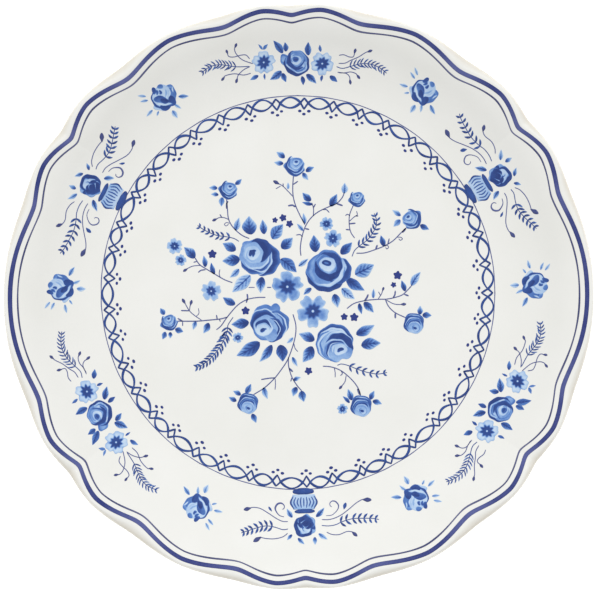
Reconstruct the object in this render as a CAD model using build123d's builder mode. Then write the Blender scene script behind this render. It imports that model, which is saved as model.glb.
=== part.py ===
from build123d import *
from math import asin, cos, degrees, radians, sin, sqrt
import os

# A round china dinner plate with a scalloped rim, as the pieces it is made from: the
# thrown and fired body, the glaze coat over it, the rim's two painted lines, and the
# printed transfers laid on the glaze. Millimetres, +Z up. The origin is the centre of
# the flat ring that the plate stands on.

# Upper face: a flat well, a rim that curves up out of it, and a brow that flattens again.
WELL_RADIUS = 78.0
WELL_TOP = 8.0
RIM_CURVE = 88.0
BREAK_RADIUS = 120.0
BROW_CURVE = 60.0
DISC_RADIUS = 140.0

# The underside follows the upper face at this thickness, glaze included.
WALL = 4.3
GLAZE = 0.3
FILM = 0.2

# Foot ring, bare where it stands.
FOOT_OUTER = 84.0
FOOT_INNER = 77.5
FOOT_BEVEL = 0.7
FOOT_ROOT = 1.6
GLAZE_LINE = 1.2
GLAZE_EDGE_BEVEL = 0.1

# One quarter of the scalloped rim, which the other quarters mirror. Each lobe is an arc
# from one dip to the next: angle in degrees, radius of the crest, of the outermost edge.
LOBES = (
    (0.0, 135.1, 136.2),
    (28.5, 134.2, 135.5),
    (43.5, 133.8, 135.5),
    (64.6, 134.3, 135.5),
    (84.0, 134.6, 135.4),
)
# The dips between them, with the radius that rounds their corner. Two are pinched.
DIPS = (
    (19.85, 130.9, 134.6, 7.0),
    (36.2, 130.0, 133.9, 2.0),
    (53.3, 129.8, 134.1, 9.0),
    (75.6, 131.0, 134.4, 9.0),
    (90.0, 132.0, 134.6, 2.0),
)
RIM_TURN = 1.4

# The lip rolls from its edge in to the crest between these heights.
LIP_LOW = 21.0
LIP_HIGH = 23.3
FORM_BOTTOM = -5.0
FORM_TOP = 30.0

# Painted lines, measured inward from the crest to their middles.
BAND_INSET = 2.0
BAND_WIDTH = 2.05
LINE_INSET = 5.5
LINE_WIDTH = 0.75

# Printed transfers. Their common centre sits a little off the plate's own.
PRINT_X = -0.3
PRINT_Y = 1.8
BORDER_INNER = 76.0
BORDER_OUTER = 91.3
BOUQUET_RADIUS = 67.5
GARLAND_RADIUS = 107.0
GARLAND_HEIGHT = 29.0
GARLAND_LENGTH = 88.0
GARLAND_ANGLES = (91.0, 211.0, 330.0)
URN_RADIUS = 105.6
URN_HEIGHT = 27.8
URN_LENGTH = 72.0
URN_ANGLES = (29.5, 151.0, 271.0)
ROSEBUD_RADIUS = 110.0
ROSEBUD_SIZE = 10.0
ROSEBUD_ANGLES = (2.0, 58.0, 124.0, 179.0, 245.0, 300.0)

PRINT_PLANE = Plane(origin=(PRINT_X, PRINT_Y, 0))
BREAK_SIN = (BREAK_RADIUS - WELL_RADIUS) / RIM_CURVE
BREAK_TURN = degrees(asin(BREAK_SIN))
RIM_CENTRE_Z = WELL_TOP + RIM_CURVE
BROW_X = BREAK_RADIUS + BROW_CURVE * BREAK_SIN
BROW_Z = RIM_CENTRE_Z - (RIM_CURVE + BROW_CURVE) * cos(radians(BREAK_TURN))
BROW_TURN = BREAK_TURN - degrees(asin((BROW_X - DISC_RADIUS) / BROW_CURVE))


def rim_face(depth):
    """The upper face's section, moved down by depth: floor, rim curve and brow."""
    Line((0, WELL_TOP - depth), (WELL_RADIUS, WELL_TOP - depth))
    CenterArc((WELL_RADIUS, RIM_CENTRE_Z), RIM_CURVE + depth, -90, BREAK_TURN)
    CenterArc((BROW_X, BROW_Z), BROW_CURVE - depth, 90 + BREAK_TURN, -BROW_TURN)


def brow_end(depth):
    """Where rim_face(depth) stops."""
    turn = radians(90 + BREAK_TURN - BROW_TURN)
    reach = BROW_CURVE - depth
    return (BROW_X + reach * cos(turn), BROW_Z + reach * sin(turn))


def foot_root(inset):
    """Where the foot's outer wall meets the curved underside."""
    across = FOOT_OUTER - inset - WELL_RADIUS
    drop = sqrt((RIM_CURVE + WALL - inset) ** 2 - across**2)
    return (FOOT_OUTER - inset, RIM_CENTRE_Z - drop)


def plate_section(inset, base, bevel):
    """Half the disc's section, inset from the glazed outside, with its foot cut at base."""
    depth = WALL - inset
    outer, inner = FOOT_OUTER - inset, FOOT_INNER + inset
    root = foot_root(inset)
    turn = asin((root[0] - WELL_RADIUS) / (RIM_CURVE + depth))
    with BuildSketch(Plane.XZ) as section:
        with BuildLine():
            rim_face(inset)
            Line(brow_end(inset), brow_end(depth))
            CenterArc((BROW_X, BROW_Z), BROW_CURVE - depth, 90 + BREAK_TURN, -BROW_TURN)
            CenterArc(
                (WELL_RADIUS, RIM_CENTRE_Z),
                RIM_CURVE + depth,
                -90 + degrees(turn),
                BREAK_TURN - degrees(turn),
            )
            Polyline(
                root,
                (outer, base + bevel),
                (outer - bevel, base),
                (inner + bevel, base),
                (inner, base + bevel),
                (inner, WELL_TOP - depth),
                (0, WELL_TOP - depth),
                (0, WELL_TOP - inset),
            )
        make_face()
        roots = section.vertices().sort_by_distance(root)[:1]
        roots += section.vertices().sort_by_distance((inner, WELL_TOP - depth))[:1]
        fillet(roots, FOOT_ROOT)
    return section.sketch


def polar(radius, angle):
    """A point on the rim, turned with it."""
    turn = radians(angle + RIM_TURN)
    return (radius * cos(turn), radius * sin(turn))


def all_round(quarter_rows):
    """A quarter's rows and their mirror images, in order of angle, each angle once."""
    rows = {}
    for row in quarter_rows:
        for angle in (row[0], 180 - row[0], 180 + row[0], (360 - row[0]) % 360):
            rows[angle % 360] = row
    return [(angle, rows[angle]) for angle in sorted(rows)]


def scallop_face(height, column, inset):
    """A level face within the scalloped outline of the crest (1) or the edge (2)."""
    lobes = all_round(LOBES)
    dips = all_round(DIPS)
    corners = [polar(row[column] - inset, angle) for angle, row in dips]
    with BuildSketch(Plane.XY.offset(height)) as face:
        with BuildLine():
            for number, corner in enumerate(corners):
                angle, row = lobes[number]
                top = polar(row[column] - inset, angle)
                ThreePointArc(corners[number - 1], top, corner)
        make_face()
        for corner, (angle, row) in zip(corners, dips):
            fillet(face.vertices().sort_by_distance(corner)[:1], row[3])
    return face.sketch


def lip_form(inset):
    """The scalloped block that trims the disc, with its lip leaning in to the crest."""
    with BuildPart() as form:
        extrude(scallop_face(FORM_BOTTOM, 2, inset), amount=LIP_LOW - FORM_BOTTOM)
        loft((scallop_face(LIP_LOW, 2, inset), scallop_face(LIP_HIGH, 1, inset)), ruled=True)
        extrude(scallop_face(LIP_HIGH, 1, inset), amount=FORM_TOP - LIP_HIGH)
    return form.part


def plate_form(inset, base, bevel):
    """The whole plate, inset from the glazed outside."""
    trim = lip_form(inset)
    with BuildPart() as form:
        revolve(plate_section(inset, base, bevel), axis=Axis.Z)
        add(trim, mode=Mode.INTERSECT)
    return form.part


def film_layer():
    """A film of even thickness lying on the whole upper face."""
    with BuildPart() as layer:
        with BuildSketch(Plane.XZ):
            with BuildLine():
                rim_face(0)
                Line(brow_end(0), brow_end(-FILM))
                rim_face(-FILM)
                Line((0, WELL_TOP), (0, WELL_TOP + FILM))
            make_face()
        revolve(axis=Axis.Z)
    return layer.part


def save(piece, name):
    """Labels a finished piece and writes it."""
    piece.label = name
    export_step(piece, f"parts/{name}.step")
    print(name, round(piece.volume, 1), "mm3")


os.makedirs("parts", exist_ok=True)

# Body: fired clay, bare only on the bottom of its foot.
body_form = plate_form(GLAZE, 0, FOOT_BEVEL)
with BuildPart() as plate_body:
    add(body_form)
save(plate_body.part, "plate_body")

# Glaze: an even glass coat over the body, wiped off below the glaze line.
glazed_form = plate_form(0, GLAZE_LINE, GLAZE_EDGE_BEVEL)
# The bare foot parts it in two: the coat inside the foot ring and the coat round the rest.
with BuildPart() as glaze:
    add(glazed_form)
    add(body_form, mode=Mode.SUBTRACT)
for name, coat in zip(("base_glaze", "glaze_coat"), glaze.solids().sort_by(SortBy.VOLUME)):
    save(coat, name)

film = film_layer()

# Painted lines that follow the crest.
for name, middle, width in (
    ("rim_band", BAND_INSET, BAND_WIDTH),
    ("rim_line", LINE_INSET, LINE_WIDTH),
):
    with BuildPart() as line:
        extrude(scallop_face(0, 1, middle - width / 2), amount=FORM_TOP)
        extrude(scallop_face(0, 1, middle + width / 2), amount=FORM_TOP, mode=Mode.SUBTRACT)
        add(film, mode=Mode.INTERSECT)
    save(line.part, name)

# The chain border's transfer, a ring round the well.
with BuildPart() as chain_border:
    with BuildSketch(PRINT_PLANE):
        Circle(BORDER_OUTER)
        Circle(BORDER_INNER, mode=Mode.SUBTRACT)
    extrude(amount=FORM_TOP)
    add(film, mode=Mode.INTERSECT)
save(chain_border.part, "chain_border")

# The bouquet's transfer, a disc in the well.
with BuildPart() as centre_bouquet:
    with BuildSketch(PRINT_PLANE.offset(WELL_TOP)):
        Circle(BOUQUET_RADIUS)
    extrude(amount=FILM)
save(centre_bouquet.part, "centre_bouquet")


def rim_transfer(name, radius, height, length, angle):
    """A transfer on the rim, cut to a slot that bends round the plate's centre."""
    half_turn = degrees((length - height) / 2 / radius)
    with BuildPart() as transfer:
        with BuildSketch(PRINT_PLANE):
            with BuildLine(mode=Mode.PRIVATE) as middle:
                CenterArc((0, 0), radius, angle - half_turn, 2 * half_turn)
            SlotArc(middle.edge(), height)
        extrude(amount=FORM_TOP)
        add(film, mode=Mode.INTERSECT)
    save(transfer.part, name)


for number, angle in enumerate(GARLAND_ANGLES, 1):
    rim_transfer(f"garland_{number}", GARLAND_RADIUS, GARLAND_HEIGHT, GARLAND_LENGTH, angle)

for number, angle in enumerate(URN_ANGLES, 1):
    rim_transfer(f"urn_spray_{number}", URN_RADIUS, URN_HEIGHT, URN_LENGTH, angle)

for number, angle in enumerate(ROSEBUD_ANGLES, 1):
    with BuildPart() as rosebud:
        with BuildSketch(PRINT_PLANE):
            with PolarLocations(ROSEBUD_RADIUS, 1, start_angle=angle):
                Circle(ROSEBUD_SIZE)
        extrude(amount=FORM_TOP)
        add(film, mode=Mode.INTERSECT)
    save(rosebud.part, f"rosebud_{number}")
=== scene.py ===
from math import asin, ceil, cos, hypot, pi, radians, sin

import bpy
import numpy as np
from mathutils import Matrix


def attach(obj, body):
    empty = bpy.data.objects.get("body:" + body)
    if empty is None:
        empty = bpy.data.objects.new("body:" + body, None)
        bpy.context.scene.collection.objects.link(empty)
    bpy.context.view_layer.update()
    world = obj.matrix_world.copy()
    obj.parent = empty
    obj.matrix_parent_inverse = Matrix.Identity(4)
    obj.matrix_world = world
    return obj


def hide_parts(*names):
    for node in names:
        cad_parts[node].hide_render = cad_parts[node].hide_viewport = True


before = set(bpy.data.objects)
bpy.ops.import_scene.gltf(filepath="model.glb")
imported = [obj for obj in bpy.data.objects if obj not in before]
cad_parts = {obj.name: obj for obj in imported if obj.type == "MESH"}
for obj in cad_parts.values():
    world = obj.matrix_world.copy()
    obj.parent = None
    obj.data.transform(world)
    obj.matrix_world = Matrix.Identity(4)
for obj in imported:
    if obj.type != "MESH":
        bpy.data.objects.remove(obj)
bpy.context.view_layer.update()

# A scalloped china dinner plate: clay body, white glaze, two painted rim lines and blue
# transfer prints. Lengths below are millimetres, turned into metres where a mesh is made.
METRES = 0.001
ROOT = "root"
# The one source of chance, seeded so that every run gives the same plate.
DICE = np.random.default_rng(7)

# The plate's section and painted lines, as the CAD source has them.
WELL_RADIUS = 78.0
WELL_TOP = 8.0
RIM_CURVE = 88.0
BREAK_RADIUS = 120.0
BROW_CURVE = 60.0
WALL = 4.3
GLAZE = 0.3
FOOT_OUTER = 84.0
FOOT_INNER = 77.5
FOOT_BEVEL = 0.7
FOOT_ROOT = 1.6
GLAZE_LINE = 1.2
RIM_TURN = 1.4
LIP_LOW = 21.0
BAND_INSET = 2.0
BAND_WIDTH = 2.05
LINE_INSET = 5.5
LINE_WIDTH = 0.75
PRINT_X = -0.3
PRINT_Y = 1.8

RIM_CENTRE_Z = WELL_TOP + RIM_CURVE
BREAK_SIN = (BREAK_RADIUS - WELL_RADIUS) / RIM_CURVE
BREAK_COS = cos(asin(BREAK_SIN))
BROW_X = BREAK_RADIUS + BROW_CURVE * BREAK_SIN
BROW_Z = RIM_CENTRE_Z - (RIM_CURVE + BROW_CURVE) * BREAK_COS

# One quarter of the scalloped rim, which the other quarters mirror. It is fitted to the photo
# and differs a little from the CAD's. A lobe has its angle, crest radius, edge radius and
# fullness. A dip has its angle, both radii, and how far its corner is rounded.
LOBES = (
    (0.0, 135.0, 136.2, 2.3),
    (28.5, 134.1, 135.5, 1.6),
    (43.5, 133.8, 135.5, 1.6),
    (64.6, 134.2, 135.5, 1.6),
    (84.0, 134.5, 135.4, 1.6),
)
DIPS = (
    (19.85, 130.8, 134.4, 0.2),
    (36.2, 129.8, 133.6, 0.13),
    (53.3, 129.6, 133.8, 0.24),
    (75.6, 130.8, 134.2, 0.28),
    (90.0, 131.8, 134.4, 0.12),
)

# Faint creases run in from the pinched dips, the ones that are rounded less than this.
PINCHED_ROUNDING = 0.15
CREASE_DEPTH = 0.34
CREASE_HALF_WIDTH = 3.4
CREASE_START = 92.0
CREASE_FULL = 129.0
CREASE_UNDERNEATH = 0.6

# The rim gets extra points at these angles from a pinched dip, and no others as near.
PINCH_STEPS = (-2, -1.4, -0.9, -0.5, -0.22, 0, 0.22, 0.5, 0.9, 1.4, 2)
PINCH_CLEAR = 2.1

# How far each arc of the section is worked out. The other one takes over sooner.
RIM_REACH = 60.0
BROW_REACH = 40.0

# Rows of the face are round up to this radius and bend to the scallops outside it.
SCALLOP_START = 124.0

# How far the lip tucks in under its edge, how flat the curve at the foot's root is, the gap
# between clay and glaze, and where a bevel's middle point lies.
LIP_TUCK = 1.3
ROOT_SQUASH = 0.8
CLAY_GAP = 0.02
BEVEL_MIDDLE = 0.3

# How high films stand over the glaze: the underside of each, then the tops by what is painted.
# A knot stands KNOT_LIFT over its link.
BED = 0.01
HAIRLINE_LIFT = 0.04
INK_LIFT = 0.05
ROSE_LIFT = 0.06
OVER_LIFT = 0.07
TOP_LIFT = 0.08
COLLAR_LIFT = 0.09
KNOT_LIFT = 0.02
PAINT_HEIGHT = 0.1
PAINT_EDGE_DROP = 0.05

# Between these crest radii the rim paint goes from a painted sheen, lighter at the dips, to its full dark
# tone on the lobes.
SHEEN_FULL_CREST = 129.5
SHEEN_GONE_CREST = 133.5


# ---- form -------------------------------------------------------------------------------


def all_round(rows):
    """A quarter's rows and their mirror images, by angle, each angle once."""
    found = {}
    for row in rows:
        for angle in (row[0], 180 - row[0], 180 + row[0], (360 - row[0]) % 360):
            found[angle % 360] = row[1:]
    return found


LOBE_ROWS = all_round(LOBES)
DIP_ROWS = all_round(DIPS)
DIP_ANGLES = sorted(DIP_ROWS)
LOBE_ANGLES = sorted(LOBE_ROWS)
PINCHED = [angle + RIM_TURN for angle in DIP_ANGLES if DIP_ROWS[angle][2] < PINCHED_ROUNDING]


def smoothstep(low, high, value):
    """0 at low, 1 at high, with a soft start and end. High may be the smaller one."""
    t = np.clip((value - low) / (high - low), 0, 1)
    return t * t * (3 - 2 * t)


def mix(a, b, share):
    """The value a share of the way from a to b."""
    return a + (b - a) * share


def rise_from(offset, span, rounding, fullness):
    """0 in the dip, 1 on the lobe's top, for an angle away from the lobe's top."""
    from_dip = 1 - offset / span
    rounded = np.sqrt(from_dip**2 + rounding**2) - rounding
    rounded = rounded / (np.sqrt(1 + rounding**2) - rounding)
    return 1 - (1 - rounded) ** fullness


def outline(degrees_round):
    """Crest and edge radius of the rim at each angle."""
    turned = np.atleast_1d((degrees_round - RIM_TURN) % 360).astype(float)
    crest = np.zeros_like(turned)
    edge = np.zeros_like(turned)
    for lobe in LOBE_ANGLES:
        top_crest, top_edge, fullness = LOBE_ROWS[lobe]
        for way in (-1, 1):
            gaps = [(way * (dip - lobe)) % 360 for dip in DIP_ANGLES]
            span = min(gaps)
            low_crest, low_edge, rounding = DIP_ROWS[DIP_ANGLES[gaps.index(span)]]
            offset = (way * (turned - lobe)) % 360
            here = offset <= span
            rise = rise_from(offset[here], span, rounding, fullness)
            crest[here] = mix(low_crest, top_crest, rise)
            edge[here] = mix(low_edge, top_edge, rise)
    return crest, edge


def upper_height(radius, depth=0.0):
    """Height of the upper face, or of the face that lies depth below it, without creases."""
    along_rim = np.clip(radius - WELL_RADIUS, 0, RIM_REACH)
    along_brow = np.clip(BROW_X - radius, 0, BROW_REACH)
    rim = RIM_CENTRE_Z - np.sqrt((RIM_CURVE + depth) ** 2 - along_rim**2)
    brow = BROW_Z + np.sqrt((BROW_CURVE - depth) ** 2 - along_brow**2)
    turn = WELL_RADIUS + (RIM_CURVE + depth) * BREAK_SIN
    return np.where(radius < WELL_RADIUS, WELL_TOP - depth, np.where(radius < turn, rim, brow))


def crease(radius, degrees_round):
    """How far the face sinks in the creases at the pinched dips."""
    sunk = np.zeros(np.broadcast(radius, degrees_round).shape)
    for angle in PINCHED:
        away = np.abs((degrees_round - angle + 180) % 360 - 180)
        along = np.radians(away) * radius
        sunk = np.maximum(sunk, np.exp(-along / CREASE_HALF_WIDTH))
    return CREASE_DEPTH * sunk * smoothstep(CREASE_START, CREASE_FULL, radius)


def face_height(x, y):
    """Height of the glazed upper face over a point, millimetres from the plate's centre."""
    radius = np.hypot(x, y)
    return upper_height(radius) - crease(radius, np.degrees(np.arctan2(y, x)))


# ---- meshes -----------------------------------------------------------------------------


def make_piece(name, points, quads, material, node, tones=None, triangles=()):
    """A smooth mesh from points in millimetres that rides on the plate and stands for a node."""
    mesh = bpy.data.meshes.new(name)
    quads = np.asarray(quads, np.int32).reshape(-1, 4)
    triangles = np.asarray(triangles, np.int32).reshape(-1, 3)
    sizes = np.concatenate((np.full(len(quads), 4), np.full(len(triangles), 3))).astype(np.int32)
    corners = np.concatenate((quads.ravel(), triangles.ravel())).astype(np.int32)
    mesh.vertices.add(len(points))
    mesh.vertices.foreach_set("co", (np.asarray(points) * METRES).astype(np.float32).ravel())
    mesh.loops.add(len(corners))
    mesh.loops.foreach_set("vertex_index", corners)
    mesh.polygons.add(len(sizes))
    mesh.polygons.foreach_set("loop_start", (np.cumsum(sizes) - sizes).astype(np.int32))
    mesh.polygons.foreach_set("use_smooth", np.ones(len(sizes), bool))
    mesh.update(calc_edges=True)
    mesh.validate()
    if tones is not None:
        mesh.attributes.new("tone", "FLOAT", "POINT").data.foreach_set(
            "value", np.asarray(tones, np.float32)
        )
    mesh.materials.append(material)
    piece = bpy.data.objects.new(name, mesh)
    bpy.context.scene.collection.objects.link(piece)
    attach(piece, ROOT)
    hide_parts(node)
    return piece


def ring_angles(step):
    """Angles all round, closer together beside the pinched dips."""
    angles = list(np.arange(0, 360, step))
    for pinch in PINCHED:
        angles = [a for a in angles if abs((a - pinch + 180) % 360 - 180) > PINCH_CLEAR]
        angles += [(pinch + step_away) % 360 for step_away in PINCH_STEPS]
    return np.array(sorted(angles))


def turned_points(radius, height, angles):
    """Points of a section, rows of radius and height, carried round at each angle."""
    turn = np.radians(angles)[None, :]
    return np.stack((radius * np.cos(turn), radius * np.sin(turn), height), -1)


def ring_quads(first, second, count):
    """Faces between two rings of points, given the number of each ring's first point."""
    here = np.arange(count)
    after = (here + 1) % count
    return np.stack((first + here, first + after, second + after, second + here), -1)


def offset_section(radius, height, depth):
    """The section moved by depth to its inner side, which is on the right of its run."""
    run_out, run_up = np.gradient(radius, axis=0), np.gradient(height, axis=0)
    length = np.maximum(np.hypot(run_out, run_up), 1e-9)
    return radius + run_up / length * depth, height - run_out / length * depth


def turned_shell(name, section, angles, look, node, thickness, tones=None):
    """A closed coat: a section carried round, its own offset inside it, and one edge wall.

    The section's first row is on the axis, and it runs outward along the visible side.
    """
    inner = offset_section(*section, thickness)
    count = len(angles)
    here = np.arange(count)
    after = (here + 1) % count
    points, quads, triangles, values, last_rings = [], [], [], [], []
    for side, (r, z) in enumerate((section, inner)):
        centre = sum(len(block) for block in points)
        first = centre + 1
        points.append(np.array([[0.0, 0.0, z[0, 0]]]))
        points.append(turned_points(r[1:], z[1:], angles).reshape(-1, 3))
        fan = np.stack((np.full(count, centre), first + here, first + after), -1)
        triangles.append(fan if side == 0 else fan[:, ::-1])
        for row in range(len(r) - 2):
            band = ring_quads(first + row * count, first + (row + 1) * count, count)
            quads.append(band[:, ::-1] if side == 0 else band)
        last_rings.append(first + (len(r) - 2) * count)
        if tones is not None:
            values += [tones[0, :1], tones[1:].ravel()]
    quads.append(ring_quads(last_rings[0], last_rings[1], count)[:, ::-1])
    # A negative thickness puts the inner side on the left, so every face is turned round.
    if thickness < 0:
        quads = [faces[:, ::-1] for faces in quads]
        triangles = [faces[:, ::-1] for faces in triangles]
    return make_piece(
        name,
        np.concatenate(points),
        np.concatenate(quads),
        look,
        node,
        None if tones is None else np.concatenate(values),
        np.concatenate(triangles),
    )


def under_height(radius):
    """Height of the underside, which follows the upper face at the wall's thickness."""
    return upper_height(radius, WALL)


def quarter_turn(count, start, end):
    """Evenly spaced parts of a quarter of a turn, in radians."""
    return np.linspace(start, end, count) * pi / 2


def plate_section(angles):
    """The glazed outside from the well's centre over the lip to the glaze line on the foot.

    Gives radius, height and how far over the lip each point lies, one column for each angle.
    """
    crest, edge = outline(angles)
    level = np.ones(len(angles))
    rows_r, rows_z, rows_lip = [], [], []

    def add_row(r, z, lip=0.0):
        rows_r.append(r * level)
        rows_z.append(z * level)
        rows_lip.append(lip * level)

    def add_face(r, lower):
        sunk = crease(r, angles)
        add_row(r, under_height(r) - CREASE_UNDERNEATH * sunk if lower else upper_height(r) - sunk)

    for r in np.concatenate(([0.0], np.linspace(8, WELL_RADIUS - 4, 8))):
        add_row(r, WELL_TOP)
    for r in np.concatenate((np.linspace(75, 81, 7), np.linspace(83, SCALLOP_START, 22))):
        add_face(r * level, False)
    for share in np.linspace(0, 1, 8)[1:]:
        add_face(mix(SCALLOP_START, crest, share), False)
    crest_z = rows_z[-1]
    for turn in quarter_turn(9, 0, 1)[1:]:
        add_row(mix(crest, edge, sin(turn)), mix(crest_z, LIP_LOW, 1 - cos(turn)), sin(turn))
    tuck_z = under_height(edge - LIP_TUCK)
    for turn in quarter_turn(6, 0, 1)[1:]:
        add_row(edge - LIP_TUCK * (1 - cos(turn)), mix(LIP_LOW, tuck_z, sin(turn)), cos(turn))
    for share in np.linspace(0, 1, 22)[1:]:
        add_face(mix(edge - LIP_TUCK, FOOT_OUTER + FOOT_ROOT, share), True)
    root_z = rows_z[-1]
    for turn in quarter_turn(6, 0, 1)[1:]:
        drop = FOOT_ROOT * ROOT_SQUASH * (1 - cos(turn))
        add_row(FOOT_OUTER + FOOT_ROOT * (1 - sin(turn)), root_z - drop)
    foot_z = rows_z[-1]
    for share in (0.5, 1.0):
        add_row(FOOT_OUTER, mix(foot_z, GLAZE_LINE, share))
    return (np.array(rows_r), np.array(rows_z)), np.array(rows_lip)


def base_section(angles):
    """The glazed underside within the foot: flat, then down the foot's inner wall."""
    level = np.ones(len(angles))
    ceiling = WELL_TOP - WALL
    r = [0.0, *np.linspace(6, FOOT_INNER - FOOT_ROOT - 2, 9)]
    z = [ceiling] * len(r)
    for turn in quarter_turn(7, 0, 1):
        r.append(FOOT_INNER - FOOT_ROOT * (1 - sin(turn)))
        z.append(ceiling - FOOT_ROOT * (1 - cos(turn)))
    r.append(FOOT_INNER)
    z.append(GLAZE_LINE)
    # Runs outward along a face that looks down, so the coat's inside is above it.
    return np.array(r)[:, None] * level, np.array(z)[:, None] * level


def glaze_coats(look):
    """The glaze over the top, lip and outside, and the glaze within the foot."""
    angles = ring_angles(0.75)
    section, lip = plate_section(angles)
    turned_shell("glaze_shell", section, angles, look, "glaze_coat", GLAZE, lip)
    angles = np.arange(0, 360, 1.5)
    section = base_section(angles)
    no_lip = np.zeros_like(section[0])
    turned_shell("base_glaze_shell", section, angles, look, "base_glaze", -GLAZE, no_lip)


def clay_body(look):
    """The fired clay just within the glaze, bare where the foot stands."""
    angles = ring_angles(1.5)
    level = np.ones(len(angles))
    inset = GLAZE + CLAY_GAP
    (radius, height), _ = plate_section(angles)
    rows = list(zip(*offset_section(radius, height, inset)))
    outer, inner = FOOT_OUTER - GLAZE - CLAY_GAP, FOOT_INNER + GLAZE + CLAY_GAP
    ceiling = WELL_TOP - WALL + inset
    middle = FOOT_BEVEL * BEVEL_MIDDLE
    foot = [(outer, FOOT_BEVEL), (outer - middle, middle), (outer - FOOT_BEVEL, 0.0)]
    foot += [(inner + FOOT_BEVEL, 0.0), (inner + middle, middle), (inner, FOOT_BEVEL)]
    foot += [(inner, ceiling), (inner * 0.5, ceiling)]
    rows += [(r * level, z * level) for r, z in foot]
    count = len(angles)
    rings = [turned_points(r[None], z[None], angles)[0] for r, z in rows[1:]]
    points = np.concatenate([[[0, 0, WELL_TOP - inset]], *rings, [[0, 0, ceiling]]])
    quads = [
        ring_quads(1 + row * count, 1 + (row + 1) * count, count)[:, ::-1]
        for row in range(len(rings) - 1)
    ]
    here, after = np.arange(count), (np.arange(count) + 1) % count
    top_fan = np.stack((np.zeros(count, int), 1 + here, 1 + after), -1)
    start = 1 + (len(rings) - 1) * count
    under_fan = np.stack((np.full(count, len(points) - 1), start + after, start + here), -1)
    fans = np.concatenate((top_fan, under_fan))
    make_piece("clay_body", points, np.concatenate(quads), look, "plate_body", None, fans)


# ---- materials --------------------------------------------------------------------------


def srgb(red, green, blue):
    """A colour written 0 to 255, as Blender's linear colour."""
    linear = [
        ((c / 255 + 0.055) / 1.055) ** 2.4 if c > 10 else c / 255 / 12.92 for c in (red, green, blue)
    ]
    return (*linear, 1.0)


class Look:
    """A procedural material and a short way to add nodes to it."""

    def __init__(self, name, roughness=0.3, **values):
        self.material = bpy.data.materials.new(name)
        self.material.use_nodes = True
        self.nodes = self.material.node_tree.nodes
        self.links = self.material.node_tree.links
        self.shader = self.nodes["Principled BSDF"]
        self.shader.inputs["Roughness"].default_value = roughness
        for key, value in values.items():
            self.shader.inputs[key.replace("_", " ")].default_value = value
        self.place = self.node("ShaderNodeTexCoord").outputs["Object"]

    def node(self, kind, **settings):
        made = self.nodes.new(kind)
        for key, value in settings.items():
            setattr(made, key, value)
        return made

    def noise(self, scale, detail=3.0, rough=0.55, stretch=None):
        """Noise over the piece, scale in features a metre."""
        source = self.node("ShaderNodeTexNoise")
        source.inputs["Scale"].default_value = scale
        source.inputs["Detail"].default_value = detail
        source.inputs["Roughness"].default_value = rough
        place = self.place
        if stretch:
            mapping = self.node("ShaderNodeMapping")
            mapping.inputs["Scale"].default_value = stretch
            self.links.new(place, mapping.inputs["Vector"])
            place = mapping.outputs[0]
        self.links.new(place, source.inputs["Vector"])
        return source.outputs[0]

    def math(self, operation, first, second, clamp=False):
        """One sum of two numbers or outputs."""
        step = self.node("ShaderNodeMath", operation=operation, use_clamp=clamp)
        for socket, value in zip(step.inputs, (first, second)):
            if isinstance(value, (int, float)):
                socket.default_value = value
            else:
                self.links.new(value, socket)
        return step.outputs[0]

    def span(self, value, low, high, to_low, to_high):
        """The value carried from one range to another, held within it."""
        step = self.node("ShaderNodeMapRange")
        for socket, number in zip(step.inputs[1:5], (low, high, to_low, to_high)):
            socket.default_value = number
        self.links.new(value, step.inputs[0])
        return step.outputs[0]

    def ramp(self, value, stops):
        """Colours along a value, as rows of place and colour."""
        step = self.node("ShaderNodeValToRGB")
        elements = step.color_ramp.elements
        while len(elements) < len(stops):
            elements.new(0.5)
        for element, (at, colour) in zip(elements, stops):
            element.position = at
            element.color = colour
        self.links.new(value, step.inputs[0])
        return step.outputs[0]

    def mix(self, share, first, second):
        """A blend of two colours. Sockets 0, 6 and 7 are the share and the two colours."""
        step = self.node("ShaderNodeMix", data_type="RGBA")
        sockets = (step.inputs[0], step.inputs[6], step.inputs[7])
        for socket, value in zip(sockets, (share, first, second)):
            if isinstance(value, (int, float, tuple)):
                socket.default_value = value
            else:
                self.links.new(value, socket)
        return step.outputs[2]

    def tone(self):
        """The value from 0 to 1 that the mesh carries at each point."""
        return self.node("ShaderNodeAttribute", attribute_name="tone").outputs["Fac"]

    def bump(self, height, strength, distance):
        """Fine relief over the face, its distance in metres."""
        step = self.node("ShaderNodeBump")
        step.inputs["Strength"].default_value = strength
        step.inputs["Distance"].default_value = distance
        self.links.new(height, step.inputs["Height"])
        self.links.new(step.outputs[0], self.shader.inputs["Normal"])

    def colour(self, output):
        self.links.new(output, self.shader.inputs["Base Color"])

    def rough(self, output):
        self.links.new(output, self.shader.inputs["Roughness"])


def glaze_look():
    """Warm white glaze, creamier and darker over the lip, partly where the glaze thins and partly as
    painted shade on the lip's outward slope, with slight orange peel.
    """
    look = Look("white_glaze", IOR=1.5, Coat_Weight=0.25, Coat_Roughness=0.08)
    cloudy = look.span(look.noise(38, 2), 0.3, 0.7, 0, 1)
    body = look.mix(cloudy, srgb(240, 240, 235), srgb(243, 243, 239))
    speckle = look.span(look.noise(2600, 1), 0.74, 0.8, 0, 0.1)
    body = look.mix(speckle, body, srgb(206, 202, 190))
    # Painted shade: the mesh's lip tone darkens the glaze towards cream over the lip, partly thinned glaze
    # and partly shade on its outward slope.
    thin_glaze_and_shade = look.math("ADD", look.tone(), look.math("MULTIPLY", look.noise(160), 0.25))
    look.colour(look.mix(look.span(thin_glaze_and_shade, 0.3, 1.0, 0, 1), body, srgb(226, 221, 209)))
    look.rough(look.span(look.noise(240), 0.3, 0.7, 0.17, 0.26))
    look.bump(look.noise(420, 2), 0.06, 0.0004)
    return look.material


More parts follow.
